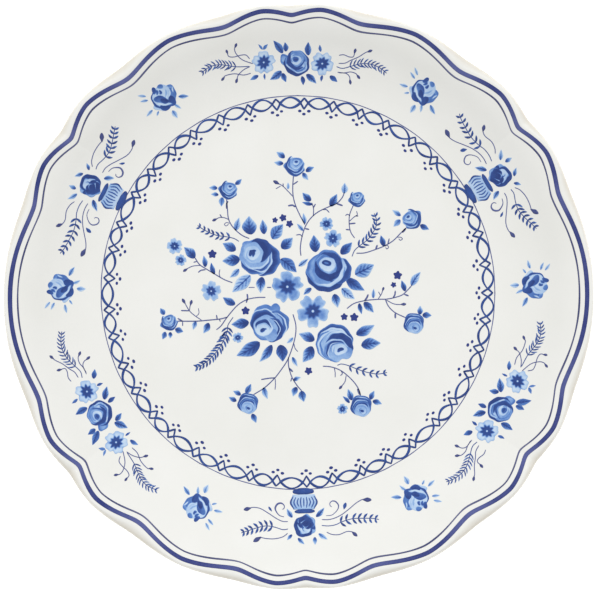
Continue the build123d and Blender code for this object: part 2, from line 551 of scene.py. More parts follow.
def clay_look():
    """Bare fired clay on the foot, rubbed grey where it stands."""
    look = Look("fired_clay", IOR=1.45)
    grain = look.noise(1500, 5)
    body = look.mix(look.span(grain, 0.35, 0.65, 0, 1), srgb(214, 205, 190), srgb(233, 226, 214))
    rubbed = look.span(look.noise(90, 4), 0.52, 0.68, 0, 0.5)
    look.colour(look.mix(rubbed, body, srgb(172, 166, 158)))
    look.rough(look.span(grain, 0.3, 0.7, 0.62, 0.85))
    look.bump(grain, 0.35, 0.0003)
    return look.material


def brushed_look(name, light, dark, streaks):
    """A line of colour laid on by brush: pools and thin places along the stroke, and lighter where the
    mesh's tone is low, which on the rim's dips is a painted sheen.
    """
    look = Look(name, IOR=1.5, Coat_Weight=0.2, Coat_Roughness=0.1)
    # The mesh's tone carries the painted sheen at the rim's dips as well as the brush's pools.
    pooled_and_sheen = look.math("ADD", look.tone(), look.math("MULTIPLY", look.noise(streaks, 4), 0.7))
    look.colour(look.mix(look.span(pooled_and_sheen, 0.15, 1.0, 0, 1), light, dark))
    look.rough(look.span(look.noise(500), 0.3, 0.7, 0.2, 0.32))
    look.bump(look.noise(900, 3), 0.15, 0.0002)
    return look.material


def print_look(name, stops, grain=0.14):
    """Transfer ink: how dark it lies comes with the mesh, broken up as in watercolour."""
    look = Look(name, IOR=1.5, Coat_Weight=0.2, Coat_Roughness=0.1)
    wash = look.math("SUBTRACT", look.noise(330, 4, 0.6), 0.5)
    fine = look.math("SUBTRACT", look.noise(1900, 2), 0.5)
    broken = look.math(
        "ADD", look.math("MULTIPLY", wash, grain * 2.4), look.math("MULTIPLY", fine, grain)
    )
    look.colour(look.ramp(look.math("ADD", look.tone(), broken, clamp=True), stops))
    look.rough(look.span(look.noise(600), 0.3, 0.7, 0.2, 0.3))
    look.bump(fine, 0.08, 0.0002)
    return look.material


def make_looks():
    """Every material by its use. Inks run from a thin wash to a full brush."""
    return {
        "glaze": glaze_look(),
        "clay": clay_look(),
        "band": brushed_look("cobalt_band", srgb(98, 106, 164), srgb(38, 52, 122), 130),
        "line": brushed_look("slate_line", srgb(104, 108, 146), srgb(60, 66, 112), 220),
        "ink": print_look("blue_ink", (
            (0.0, srgb(206, 225, 244)),
            (0.3, srgb(150, 185, 230)),
            (0.55, srgb(88, 132, 202)),
            (0.78, srgb(46, 84, 160)),
            (1.0, srgb(27, 57, 126)),
        )),
        "stem": print_look("stem_ink", (
            (0.0, srgb(172, 182, 218)),
            (0.5, srgb(98, 108, 164)),
            (1.0, srgb(42, 54, 118)),
        )),
        "star": print_look("violet_ink", (
            (0.0, srgb(90, 104, 178)),
            (0.6, srgb(42, 62, 144)),
            (1.0, srgb(28, 46, 118)),
        ), 0.1),
    }


# ---- painted rim lines ------------------------------------------------------------------


def rim_stroke(name, node, inset, width, look, wobble):
    """A closed ribbon of colour that follows the crest all the way round."""
    angles = ring_angles(0.5)
    crest, _ = outline(angles)
    turn = np.radians(angles)
    waver = sum(
        DICE.normal(0, 1) * np.sin(turn * lobe + DICE.uniform(0, 2 * pi)) for lobe in (5, 9, 14, 23, 31)
    )
    half = width / 2 * (1 + wobble * waver / 2)
    across = np.linspace(-1, 1, 7)
    radius = (crest - inset)[None] - across[:, None] * half[None]
    x, y = radius * np.cos(turn), radius * np.sin(turn)
    ground = face_height(x, y)
    count = len(angles)
    # Painted sheen: the paint is lighter where the crest dips, in place of the glaze's reflection there.
    # The darker edges and the waver are the brush's own.
    full = smoothstep(SHEEN_FULL_CREST, SHEEN_GONE_CREST, crest)
    pools_and_sheen = 0.5 * full + np.abs(across)[:, None] ** 3 * 0.2 + 0.12 * waver[None] / 3
    domed = PAINT_HEIGHT - PAINT_EDGE_DROP * np.abs(across)[:, None] ** 4
    top = np.stack((x, y, ground + domed), -1).reshape(-1, 3)
    low = np.stack((x, y, ground + BED), -1).reshape(-1, 3)
    last = (len(across) - 1) * count
    under = len(across) * count
    steps = range(0, last, count)
    quads = [ring_quads(start, start + count, count) for start in steps]
    quads += [ring_quads(under + start, under + start + count, count)[:, ::-1] for start in steps]
    quads.append(ring_quads(0, under, count)[:, ::-1])
    quads.append(ring_quads(last, under + last, count))
    tones = np.concatenate((pools_and_sheen.ravel(), pools_and_sheen.ravel()))
    make_piece(name, np.concatenate((top, low)), np.concatenate(quads), look, node, tones)


# ---- printed artwork --------------------------------------------------------------------
# Drawn in the print's own plane, millimetres from its centre, x to the right, y to the top.
# A motif on the rim is drawn upright, y outward, and turned to its place.


def turn_of(way):
    """Unit vector at an angle in degrees."""
    return np.array((cos(radians(way)), sin(radians(way))))


def smooth_path(points, spacing=0.45):
    """A Catmull-Rom curve through the points, sampled evenly enough for a brush stroke."""
    points = np.asarray(points, float)
    ends = np.concatenate(([2 * points[0] - points[1]], points, [2 * points[-1] - points[-2]]))
    path = []
    for a, b, c, d in zip(ends, ends[1:], ends[2:], ends[3:]):
        count = max(3, ceil(hypot(*(c - b)[:2]) / spacing))
        t = (np.arange(count) / count)[:, None]
        path.append(0.5 * (2 * b + (c - a) * t + (2 * a - 5 * b + 4 * c - d) * t**2
                           + (3 * b - a - 3 * c + d) * t**3))
    return np.concatenate((*path, points[-1:]))


def across_path(path):
    """Unit normals, to the left of a path."""
    run = np.gradient(path[:, :2], axis=0)
    run /= np.maximum(np.linalg.norm(run, axis=1, keepdims=True), 1e-9)
    return np.stack((-run[:, 1], run[:, 0]), -1)


class Film:
    """Ink in thin closed patches, each a grid of points with a darkness from 0 to 1."""

    def __init__(self, turn=0.0, size=1.0, at=(0.0, 0.0)):
        self.turn, self.size, self.at = radians(turn), size, at
        self.points, self.quads, self.tones, self.count = [], [], [], 0

    def patch(self, x, y, tone, lift=INK_LIFT):
        """Lays one grid of points, rows by columns, as a closed film."""
        if np.sum((x[1:, 1:] - x[:-1, :-1]) * (y[1:, :-1] - y[:-1, 1:])
                  - (y[1:, 1:] - y[:-1, :-1]) * (x[1:, :-1] - x[:-1, 1:])) < 0:
            x, y, tone = x[::-1], y[::-1], tone[::-1]
        x, y = x * self.size + self.at[0], y * self.size + self.at[1]
        px = x * cos(self.turn) - y * sin(self.turn) + PRINT_X
        py = x * sin(self.turn) + y * cos(self.turn) + PRINT_Y
        ground = face_height(px, py)
        rows, columns = x.shape
        number = np.arange(rows * columns).reshape(rows, columns) + self.count
        under = number + rows * columns
        cells = [number[:-1, :-1], number[:-1, 1:], number[1:, 1:], number[1:, :-1]]
        self.quads.append(np.stack(cells, -1).reshape(-1, 4))
        cells = [under[:-1, :-1], under[1:, :-1], under[1:, 1:], under[:-1, 1:]]
        self.quads.append(np.stack(cells, -1).reshape(-1, 4))
        border = np.concatenate((number[0, :-1], number[:-1, -1], number[-1, :0:-1], number[:0:-1, 0]))
        after = np.roll(border, -1)
        drop = rows * columns
        self.quads.append(np.stack((border, border + drop, after + drop, after), -1))
        for height in (ground + lift, ground + BED):
            self.points.append(np.stack((px, py, height), -1).reshape(-1, 3))
            self.tones.append(np.broadcast_to(tone, x.shape).ravel())
        self.count += 2 * drop

    def stroke(self, points, width=0.45, tone=0.7, taper=(0.6, 0.6), lift=INK_LIFT):
        """A brush stroke along the points; width and tone may be one value or one for each point."""
        width = np.broadcast_to(np.asarray(width, float), (len(points),))
        tone = np.broadcast_to(np.asarray(tone, float), (len(points),))
        path = smooth_path(np.column_stack((np.asarray(points, float), width, tone)))
        share = np.linspace(0, 1, len(path))
        length = np.sum(np.hypot(*np.diff(path[:, :2], axis=0).T))
        near_start = np.clip(share * length / np.maximum(path[:, 2], 0.1), 0, 1)
        near_end = np.clip((1 - share) * length / np.maximum(path[:, 2], 0.1), 0, 1)
        ends = mix(1 - taper[0], 1, np.sqrt(near_start)) * mix(1 - taper[1], 1, np.sqrt(near_end))
        side = across_path(path) * (path[:, 2] / 2 * ends)[:, None]
        across = np.linspace(-1, 1, 3)
        x = path[:, 0] + across[:, None] * side[:, 0]
        y = path[:, 1] + across[:, None] * side[:, 1]
        self.patch(x, y, path[:, 3] + 0 * x, lift)

    def blob(self, x, y, reach, paint, cells=20, lift=INK_LIFT):
        """A filled shape about a point. Reach gives its radius, and paint its tone, by place."""
        line = np.linspace(-1, 1, cells)
        u, v = np.meshgrid(line, line, indexing="ij")
        far = np.maximum(np.abs(u), np.abs(v))
        wide = np.abs(u) > np.abs(v)
        turn = np.where(wide, pi / 4 * v / np.where(u == 0, 1, u),
                        pi / 2 - pi / 4 * u / np.where(v == 0, 1, v))
        sign = np.where(wide, np.sign(u), np.sign(v))
        turn = turn + np.where(sign < 0, pi, 0)
        radius = far * reach(turn)
        dx, dy = radius * np.cos(turn), radius * np.sin(turn)
        tone = paint(dx, dy, far, turn) if callable(paint) else paint + 0 * dx
        self.patch(x + dx, y + dy, np.clip(tone, 0, 1), lift)

    def dot(self, x, y, radius, tone=0.9, squash=1.0, way=0.0, lift=INK_LIFT):
        """A round or oval drop of ink."""
        turned = radians(way)

        def reach(a):
            return radius / np.sqrt(np.cos(a - turned) ** 2 + (np.sin(a - turned) / squash) ** 2)

        self.blob(x, y, reach, tone, 9, lift)

    def leaf(self, base, tip, width, tones=(0.9, 0.45), veins=0.0, bend=0.0, plump=0.75, lift=INK_LIFT):
        """A pointed leaf from base to tip, its rib and side veins darker."""
        base, tip = np.asarray(base, float), np.asarray(tip, float)
        along = tip - base
        length = hypot(*along)
        side = np.array((-along[1], along[0])) / length
        u = np.linspace(0, 1, 25)[:, None]
        v = np.linspace(-1, 1, 13)[None, :]
        half = width / 2 * np.sin(pi * u**plump) ** 0.85 * (1 + 0.06 * np.sin(9 * u + 3 * v))
        bow = bend * length * np.sin(pi * u)
        x = base[0] + along[0] * u + side[0] * (bow + half * v)
        y = base[1] + along[1] * u + side[1] * (bow + half * v)
        tone = mix(tones[0], tones[1], smoothstep(0.05, 0.95, u + 0.12 * np.abs(v))) + 0.07 * v
        rib = np.exp(-((v * half / 0.22) ** 2)) * smoothstep(1.0, 0.75, u)
        slope = (u - 0.32 * np.abs(v)) * 5
        side_vein = np.exp(-(((slope - np.round(slope)) / 0.17) ** 2)) * smoothstep(1, 0.6, np.abs(v))
        side_vein = side_vein * smoothstep(0.1, 0.25, u) * smoothstep(0.95, 0.75, u)
        tone = tone + veins * (1.5 * rib + side_vein) - 0.2 * np.abs(v) ** 3
        self.patch(x, y, np.clip(tone, 0, 1), lift)

    def flower(self, x, y, radius, turn, tones=(0.12, 0.42), heart=0.34, deep=0.3, rays=0.5):
        """Five petals with a notch between each two, a rayed dark heart and a light dot in it."""
        spin = radians(turn)
        wave = DICE.uniform(0, 2 * pi)

        def reach(a):
            notch = np.abs(np.sin(2.5 * (a - spin))) ** 7
            dimple = np.abs(np.cos(2.5 * (a - spin))) ** 14
            ragged = 0.03 * np.sin(7 * a + wave) + 0.025 * np.sin(13 * a)
            return radius * (1 - deep * notch - 0.05 * dimple + ragged)

        def paint(dx, dy, far, a):
            out = np.hypot(dx, dy) / radius
            petal = np.cos(2.5 * (a - spin)) ** 2
            edge = smoothstep(0.72, 1.0, far) * 0.8 + 0.9 * (1 - petal) ** 6
            tone = mix(tones[0], tones[1], edge + 0.2 * np.sin(3 * a + wave))
            spike = np.abs(np.cos(4.5 * a + wave)) ** 2 * (0.75 + 0.25 * np.sin(2 * a + wave))
            ray = heart * (0.78 + 0.7 * rays * spike)
            tone = mix(tone, 0.93, 1 - smoothstep(ray - 0.1, ray + 0.16, out))
            return mix(0.05, tone, smoothstep(0.05, 0.11, out))

        self.blob(x, y, reach, paint, max(24, int(radius * 8)))

    def star(self, x, y, radius, turn):
        """A small five-petalled floret in one dark tone."""
        spin = radians(turn)

        def reach(a):
            return 1.12 * radius * (0.84 + 0.15 * np.cos(5 * (a - spin)))

        self.blob(x, y, reach, 0.82, 15)

    def rose(self, x, y, shapes, turn=0.0, size=1.0, ground=0.1, mirror=False):
        """A rose painted shape on shape, clipped to the outline that the shapes make together.

        A disc is (x, y, half width, half height, tone). A crescent is (x, y, radius, way it
        faces, thickness, tone inside, tone outside).
        """
        spin = radians(turn)
        flip = -1.0 if mirror else 1.0

        def paint_at(dx, dy):
            u = (dx * cos(spin) + dy * sin(spin)) / size * flip
            v = (-dx * sin(spin) + dy * cos(spin)) / size
            u, v = u + 0.2 * np.sin(1.3 * v + 2.1), v + 0.18 * np.sin(1.2 * u + 0.7)
            tone = np.full(u.shape, ground)
            ink = np.zeros(u.shape)
            for shape in shapes:
                if len(shape) == 5:
                    cx, cy, rx, ry, value = shape
                    gap = (1 - np.sqrt(((u - cx) / rx) ** 2 + ((v - cy) / ry) ** 2)) * min(rx, ry)
                    cover = smoothstep(-0.12, 0.14, gap)
                    shade = value + 0.1 * (v - cy) / ry
                else:
                    cx, cy, radius, way, thick, value, rim = shape
                    ahead = turn_of(way) * thick
                    outer = radius - np.hypot(u - cx, v - cy)
                    inner = np.hypot(u - cx + ahead[0], v - cy + ahead[1]) - radius
                    cover = smoothstep(-0.1, 0.14, outer) * smoothstep(-0.1, 0.14, inner)
                    outward = inner / (np.abs(inner) + np.abs(outer) + 0.01)
                    shade = mix(value, rim, smoothstep(0.3, 1, outward))
                tone = mix(tone, shade, cover)
                ink = np.maximum(ink, cover)
            return tone, ink

        steps = np.linspace(0, 1, 150)
        angles = np.linspace(-pi, pi, 181)
        farthest = 1.6 * size * max(hypot(s[0], s[1]) + s[2] for s in shapes)
        ray_x, ray_y = (np.outer(farthest * steps, f(angles)) for f in (np.cos, np.sin))
        ink = paint_at(ray_x, ray_y)[1] > 0.4
        last = len(steps) - 1 - np.argmax(ink[::-1], axis=0)
        limit = farthest * steps[last]
        limit = (np.roll(limit[:-1], 1) + limit[:-1] * 2 + np.roll(limit[:-1], -1)) / 4
        limit = np.append(limit, limit[0])

        def reach(a):
            return np.interp((a + pi) % (2 * pi) - pi, angles, limit)

        def paint(dx, dy, far, a):
            return paint_at(dx, dy)[0]

        self.blob(x, y, reach, paint, max(26, int(9 * np.mean(limit))), ROSE_LIFT)

    def fern(self, points, pairs, length=2.6, width=0.75, tone=0.85, lean=48, first=0.0, stem=0.3):
        """A curving stem with leaflets in pairs that lean towards its tip."""
        path = smooth_path(points)
        self.stroke(points, stem + 0.1, 0.84, (0.2, 0.9))
        normals = across_path(path)
        for number in range(pairs):
            share = first + (1 - first) * (number + 0.5) / pairs
            spot = int(share * (len(path) - 2))
            ahead = np.array((normals[spot][1], -normals[spot][0]))
            grown = length * (1.12 - 0.45 * (number / pairs) ** 2)
            for side in (-1, 1):
                leaning = radians(lean + DICE.uniform(-8, 8))
                out = ahead * cos(leaning) + side * normals[spot] * sin(leaning)
                start = path[spot, :2] + out * 0.05
                middle = start + out * grown * 0.5
                end = start + out * grown * 0.92 + ahead * grown * 0.14
                ink = tone + DICE.uniform(-0.12, 0.1)
                self.stroke((start, middle, end), (width * 0.8, width * 1.3, width * 0.5),
                            (ink, ink, ink - 0.2), (0.6, 0.9), OVER_LIFT)

    def bud(self, points, size=1.5, width=0.42, tone=0.62, drop=0.85):
        """A tendril that ends in a small dark drop."""
        self.stroke(points, width, tone, (0.8, 0.1))
        last, before = np.asarray(points[-1], float), np.asarray(points[-2], float)
        ahead = (last - before) / hypot(*(last - before))
        self.stroke((last - ahead * size * 0.6, last + ahead * size * 0.4, last + ahead * size * 1.05),
                    (width, 0.3 + size * 0.75, 0.2 + size * 0.5), drop, (0.3, 0.8), OVER_LIFT)

    def save(self, name, node, look):
        """Makes one piece of all the patches, in the place of a transfer."""
        return make_piece(name, np.concatenate(self.points), np.concatenate(self.quads), look, node,
                          np.concatenate(self.tones))


# The chain border: links between small diamonds, with three dots on the well's side of each.
HAIRLINE_RADIUS = 91.0
CHAIN_RADIUS = 87.8
LINKS = 41
LINKS_IN_PIECE = 6
DIAMOND_HALF = 1.16


def on_ring(radius, angle):
    """A point by its distance from the print's centre and its angle in degrees."""
    return (radius * cos(radians(angle)), radius * sin(radians(angle)))


def ring_line(film, radius, width, tone, lift):
    """A hairline all round, in lengths that overlap a little."""
    for start in range(0, 360, 30):
        ends = [on_ring(radius + 0.05 * sin(start + a), start + a) for a in np.linspace(0, 30.2, 9)]
        film.stroke(ends, width * np.array([1 + 0.15 * sin(3 * a + start) for a in range(9)]), tone,
                    (0, 0), lift)


def chain_border(looks):
    """The hairline, then the links and dots in pieces of a few links each."""
    hairline = Film()
    ring_line(hairline, HAIRLINE_RADIUS, 0.42, 0.66, HAIRLINE_LIFT)
    hairline.save("border_hairline", "chain_border", looks["stem"])

    pitch = 360 / LINKS
    centres = [0.3 + pitch * number + DICE.uniform(-0.65, 0.65) for number in range(LINKS)]
    centres.append(centres[0] + 360)
    for first in range(0, LINKS, LINKS_IN_PIECE):
        links, dots = Film(), Film()
        for number in range(first, min(first + LINKS_IN_PIECE, LINKS)):
            here, after = centres[number], centres[number + 1]
            half = DIAMOND_HALF * DICE.uniform(0.88, 1.1)
            low, high = here + half, after - DIAMOND_HALF
            top, bottom, point = 2.65 + DICE.uniform(-0.2, 0.1), 2.35 + DICE.uniform(-0.3, 0.25), 3.1
            t = np.linspace(0, 1, 15)
            for swell, corner, lift in ((top, -point, INK_LIFT), (-bottom, 2.3, TOP_LIFT)):
                arc = [on_ring(CHAIN_RADIUS + swell * 4 * s * (1 - s), mix(low, high, s)) for s in t]
                before = on_ring(CHAIN_RADIUS + corner * 0.3, low - 0.3 * half)
                beyond = on_ring(CHAIN_RADIUS + corner * 0.3, high + 0.3 * DIAMOND_HALF)
                press = DICE.uniform(0.86, 1.04) * (1 + 0.22 * np.sin(2 * pi * (t + DICE.uniform(0, 1))))
                shade = DICE.uniform(0.84, 0.95)
                links.stroke([before, *arc, beyond], [0.85, *press, 0.85], shade, (0.3, 0.3), lift)
                for way in (-1, 1):
                    foot = on_ring(CHAIN_RADIUS + corner * 0.08, here + way * half * 0.95)
                    peak = on_ring(CHAIN_RADIUS + corner, here - way * 0.06)
                    bulk = DICE.uniform(0.75, 1.0)
                    links.stroke((foot, ((foot[0] + peak[0]) / 2, (foot[1] + peak[1]) / 2), peak),
                                 (bulk * 0.9, bulk, bulk * 0.8), shade + 0.05, (0.2, 0.3), lift + KNOT_LIFT)
            for offset, radius, size in ((-1.4, 83.9, 0.8), (0, 82.4, 0.84), (1.4, 83.9, 0.8)):
                x, y = on_ring(radius + DICE.uniform(-0.25, 0.25), here + offset * DICE.uniform(0.9, 1.1))
                dots.dot(x, y, size * DICE.uniform(0.92, 1.1), 0.82, 0.76, here + 90)
        piece = first // LINKS_IN_PIECE + 1
        links.save(f"border_links_{piece}", "chain_border", looks["ink"])
        dots.save(f"border_dots_{piece}", "chain_border", looks["star"])


# Roses: discs (x, y, half width, half height, tone) and crescents
# (x, y, radius, way it faces, thickness, tone inside, tone outside), painted in this order.
OPEN_ROSE = (
    (-2.2, 0.2, 7.4, 7.6, 0.42), (-4.6, 5.6, 3.8, 1.5, 0.46), (-2.2, -1.6, 7.0, -78, 2.6, 0.86, 0.62),
    (-1.8, 0.2, 6.4, -62, 1.0, 0.1, 0.14), (0.6, -0.6, 6.9, -52, 0.9, 0.06, 0.12),
    (1.6, -1.4, 7.8, -6, 3.7, 0.97, 0.6), (-2.6, 1.6, 5.2, 5.0, 0.3),
    (-0.4, 2.8, 5.5, 24, 4.1, 0.98, 0.86), (-3.6, 1.4, 3.5, 3.3, 0.13),
    (-3.4, 0.6, 3.1, 215, 0.8, 0.32, 0.32), (-4.4, 1.5, 0.9, 1.5, 0.98), (-3.4, 2.3, 1.4, 0.65, 0.98),
    (-3.0, 0.9, 0.6, 1.3, 0.98),
)
SWIRLED_ROSE = (
    (-0.7, -0.2, 9.5, 9.2, 0.52), (-1.2, 0.8, 8.2, 165, 2.6, 0.42, 0.66),
    (-0.7, -0.1, 9.3, -86, 2.3, 0.98, 0.9), (5.0, 0.6, 6.1, 22, 3.2, 0.2, 0.34),
    (4.9, 0.4, 6.1, -32, 2.9, 0.9, 0.74), (-0.4, 1.0, 7.9, -36, 1.8, 0.07, 0.14),
    (0.4, 3.4, 6.4, 36, 3.4, 0.88, 0.94), (0.2, 4.0, 6.3, 100, 1.3, 0.6, 0.5),
    (0.1, 1.9, 6.2, -106, 3.5, 0.98, 0.96), (-0.1, 3.4, 3.9, 3.3, 0.1),
    (0.2, 2.6, 3.2, -70, 0.6, 0.3, 0.3), (-0.4, 4.0, 2.2, 1.35, 0.96), (-0.5, 4.05, 1.1, 0.45, 0.62),
)
CUPPED_ROSE = (
    (-2.6, 4.8, 4.9, 3.6, 0.5), (2.2, 6.4, 2.2, 2.6, 0.55), (-0.6, -1.2, 8.0, 7.4, 0.34),
    (-1.2, -1.6, 7.4, 95, 0.7, 0.08, 0.1), (2.9, -0.2, 5.9, 24, 3.1, 0.74, 0.62),
    (1.4, -1.7, 6.3, 14, 0.7, 0.03, 0.06), (-3.2, 0.3, 6.2, 112, 0.7, 0.02, 0.04),
    (-3.3, 0.0, 6.0, 118, 2.8, 0.98, 0.7), (0.7, -3.4, 5.6, -4, 3.0, 0.97, 0.8),
    (-0.4, -3.2, 5.0, 8, 0.5, 0.03, 0.06), (-2.8, -3.2, 5.0, 216, 2.1, 0.5, 0.62),
    (0.2, -5.6, 3.1, 3.0, 0.42), (-3.3, -2.2, 4.3, 3.8, 0.08), (-3.4, -2.0, 3.6, 92, 1.7, 0.95, 0.9),
    (-3.2, -2.9, 2.9, 70, 0.7, 0.3, 0.3), (-3.7, -3.4, 1.15, 1.0, 0.97), (-2.8, -3.1, 0.9, 0.4, 0.9),
    (-2.6, -3.0, 3.2, -58, 0.4, 0.04, 0.08),
)
FULL_ROSE = (
    (-1.6, -0.6, 7.4, 5.8, 0.3), (-0.3, 0.2, 8.6, 82, 2.7, 0.9, 0.62),
    (-0.6, -0.6, 7.7, 92, 0.9, 0.05, 0.1), (-2.2, -1.2, 6.8, 190, 2.6, 0.6, 0.6),
    (-1.6, -1.4, 6.6, 165, 1.0, 0.08, 0.1), (1.4, -1.6, 6.9, 62, 0.7, 0.02, 0.04),
    (1.8, -1.9, 6.5, 58, 3.2, 0.96, 0.9), (3.9, -4.5, 4.2, 3.1, 0.44), (-0.1, -3.6, 5.5, 4.9, 0.4),
    (0.3, -3.9, 5.6, 138, 0.6, 0.03, 0.05), (0.6, -4.2, 5.3, 142, 1.9, 0.95, 0.88),
    (1.2, -4.4, 4.7, 150, 0.5, 0.03, 0.05), (-0.2, -3.9, 5.1, 205, 1.2, 0.5, 0.6),
    (1.8, -3.0, 3.6, 2.6, 0.1), (1.9, -3.6, 3.0, 225, 0.7, 0.4, 0.4), (2.3, -3.1, 1.5, 0.85, 0.95),
    (1.6, -3.7, 0.8, 0.6, 0.8),
)
GARDEN_ROSE = (
    (0.0, -0.3, 4.3, 3.5, 0.5), (-3.3, 0.2, 1.5, 1.5, 0.56), (2.8, -1.6, 1.6, 1.4, 0.6),
    (0.1, -0.5, 4.2, -98, 1.5, 0.92, 0.8), (0.5, 0.3, 3.9, -66, 0.42, 0.06, 0.1),
    (0.4, 0.3, 3.5, -84, 1.1, 0.84, 0.66), (-0.2, 0.5, 3.7, 198, 1.4, 0.95, 0.86),
    (0.0, 0.7, 3.1, 228, 0.42, 0.08, 0.1), (0.7, 1.4, 2.8, 2.3, 0.4),
    (0.7, 1.3, 2.7, -74, 0.45, 0.1, 0.12), (0.8, 1.5, 2.2, 70, 0.8, 0.66, 0.5),
    (0.6, 1.5, 1.4, 1.1, 0.2), (0.7, 1.3, 1.5, -60, 0.4, 0.76, 0.7), (0.5, 1.8, 0.8, 0.55, 0.88),
)
HALF_ROSE = (
    (0.1, 0.0, 4.2, 3.9, 0.5), (0.1, 0.5, 4.3, 84, 1.7, 0.9, 0.78),
    (0.0, 0.2, 4.0, 96, 0.42, 0.08, 0.1), (-0.4, 0.0, 3.9, 132, 1.7, 0.95, 0.88),
    (0.4, -0.3, 3.7, 60, 1.2, 0.84, 0.7), (-0.1, -0.5, 3.5, 104, 0.42, 0.08, 0.1),
    (0.4, -1.1, 3.2, 2.9, 0.34), (0.2, -0.9, 2.9, 98, 1.0, 0.88, 0.7),
    (0.2, -1.2, 2.5, 86, 0.4, 0.1, 0.12), (0.4, -1.7, 2.0, 1.8, 0.24),
    (0.5, -1.5, 1.9, -40, 0.5, 0.5, 0.42), (0.2, -1.7, 1.2, 165, 0.4, 0.66, 0.6),
    (0.2, -1.6, 0.75, 0.55, 0.92), (-1.9, -2.4, 1.0, 1.1, 0.3),
)


def leaf_group(name, node, look, rows, **place):
    """Leaves from rows of base x, base y, tip x, tip y, width, dark tone, pale tone, veins."""
    film = Film(**place)
    for x0, y0, x1, y1, width, dark, pale, veins in rows:
        film.leaf((x0, y0), (x1, y1), width, (dark, pale), veins, DICE.uniform(-0.05, 0.05))
    film.save(name, node, look)


def twig_group(name, node, look, strokes=(), buds=(), **place):
    """Stems, as rows of a width and points, and tendrils with a bud at their end."""
    film = Film(**place)
    for width, points in strokes:
        film.stroke(points, width, 0.62, (0.35, 0.45))
    for size, points in buds:
        film.bud(points, size)
    film.save(name, node, look)


# The four big roses: x, y and shapes.
BIG_ROSES = (
    (-17.5, 16.9, OPEN_ROSE),
    (13.8, 9.7, SWIRLED_ROSE),
    (-12.7, -13.9, CUPPED_ROSE),
    (17.3, -23.2, FULL_ROSE),
)

# The roses round them: x, y, shapes, turn, size, and whether they are mirrored.
SMALL_ROSES = (
    (-1.5, 58.7, GARDEN_ROSE, 0, 1.06, False),
    (-32.2, 47.6, GARDEN_ROSE, -8, 0.96, False),
    (27.2, 43.4, GARDEN_ROSE, 12, 0.84, False),
    (52.6, 34.2, GARDEN_ROSE, 40, 1.04, True),
    (-59.7, -13.6, GARDEN_ROSE, 24, 0.88, False),
    (53.6, -14.6, HALF_ROSE, 8, 1.1, False),
    (-23.2, -51.6, HALF_ROSE, 0, 1.1, False),
    (29.2, -52.8, HALF_ROSE, 6, 1.14, False),
)


def centre_roses(looks):
    """Every rose of the bouquet."""
    node = "centre_bouquet"
    for number, (x, y, shapes) in enumerate(BIG_ROSES, 1):
        film = Film()
        film.rose(x, y, shapes)
        film.save(f"bouquet_rose_{number}", node, looks["ink"])
    for number, (x, y, shapes, turn, size, mirror) in enumerate(SMALL_ROSES, 1):
        film = Film()
        film.rose(x, y, shapes, turn, size, mirror=mirror)
        film.save(f"spray_rose_{number}", node, looks["ink"])


# Flowers: x, y, radius, turn, tones within and at the edge, size of the heart, depth of notches.
FLOWERS = (
    (-4.9, 2.7, 7.3, 22, (0.48, 0.22), 0.44, 0.26),
    (6.9, -8.6, 7.6, 54, (0.42, 0.2), 0.42, 0.34),
    (-40.1, 0.7, 4.7, 12, (0.28, 0.14), 0.44, 0.26),
    (-57.0, 21.5, 3.7, 30, (0.3, 0.14), 0.5, 0.22),
    (-54.2, 15.0, 2.7, 4, (0.34, 0.2), 0.5, 0.22),
    (13.2, 31.8, 3.2, 40, (0.34, 0.2), 0.5, 0.24),
    (16.2, 25.0, 4.1, 15, (0.34, 0.18), 0.5, 0.26),
    (-27.8, -20.8, 2.5, 70, (0.32, 0.18), 0.5, 0.24),
    (20.6, -53.8, 2.5, 20, (0.34, 0.2), 0.52, 0.24),
)

# Florets: x, y, radius, turn.
STARS = (
    (-10.6, 33.5, 1.25, 10), (-6.9, 34.6, 1.6, 36), (-3.9, 31.8, 1.6, 60), (-39.6, 17.8, 1.9, 90),
    (-24.2, -8.4, 1.8, 20), (46.1, 8.0, 1.9, 12), (44.2, 3.6, 1.25, 45), (21.4, -11.2, 1.55, 20),
    (26.0, -11.4, 1.85, 15), (4.9, -36.2, 1.7, 50),
)


def centre_flowers(looks):
    """The pale flowers and the small dark florets."""
    node = "centre_bouquet"
    for number, (x, y, radius, turn, tones, heart, deep) in enumerate(FLOWERS, 1):
        film = Film()
        film.flower(x, y, radius, turn, tones, heart, deep)
        film.save(f"bouquet_flower_{number}", node, looks["ink"])
    stars = Film()
    for x, y, radius, turn in STARS:
        stars.star(x, y, radius, turn)
    stars.save("bouquet_stars", node, looks["star"])


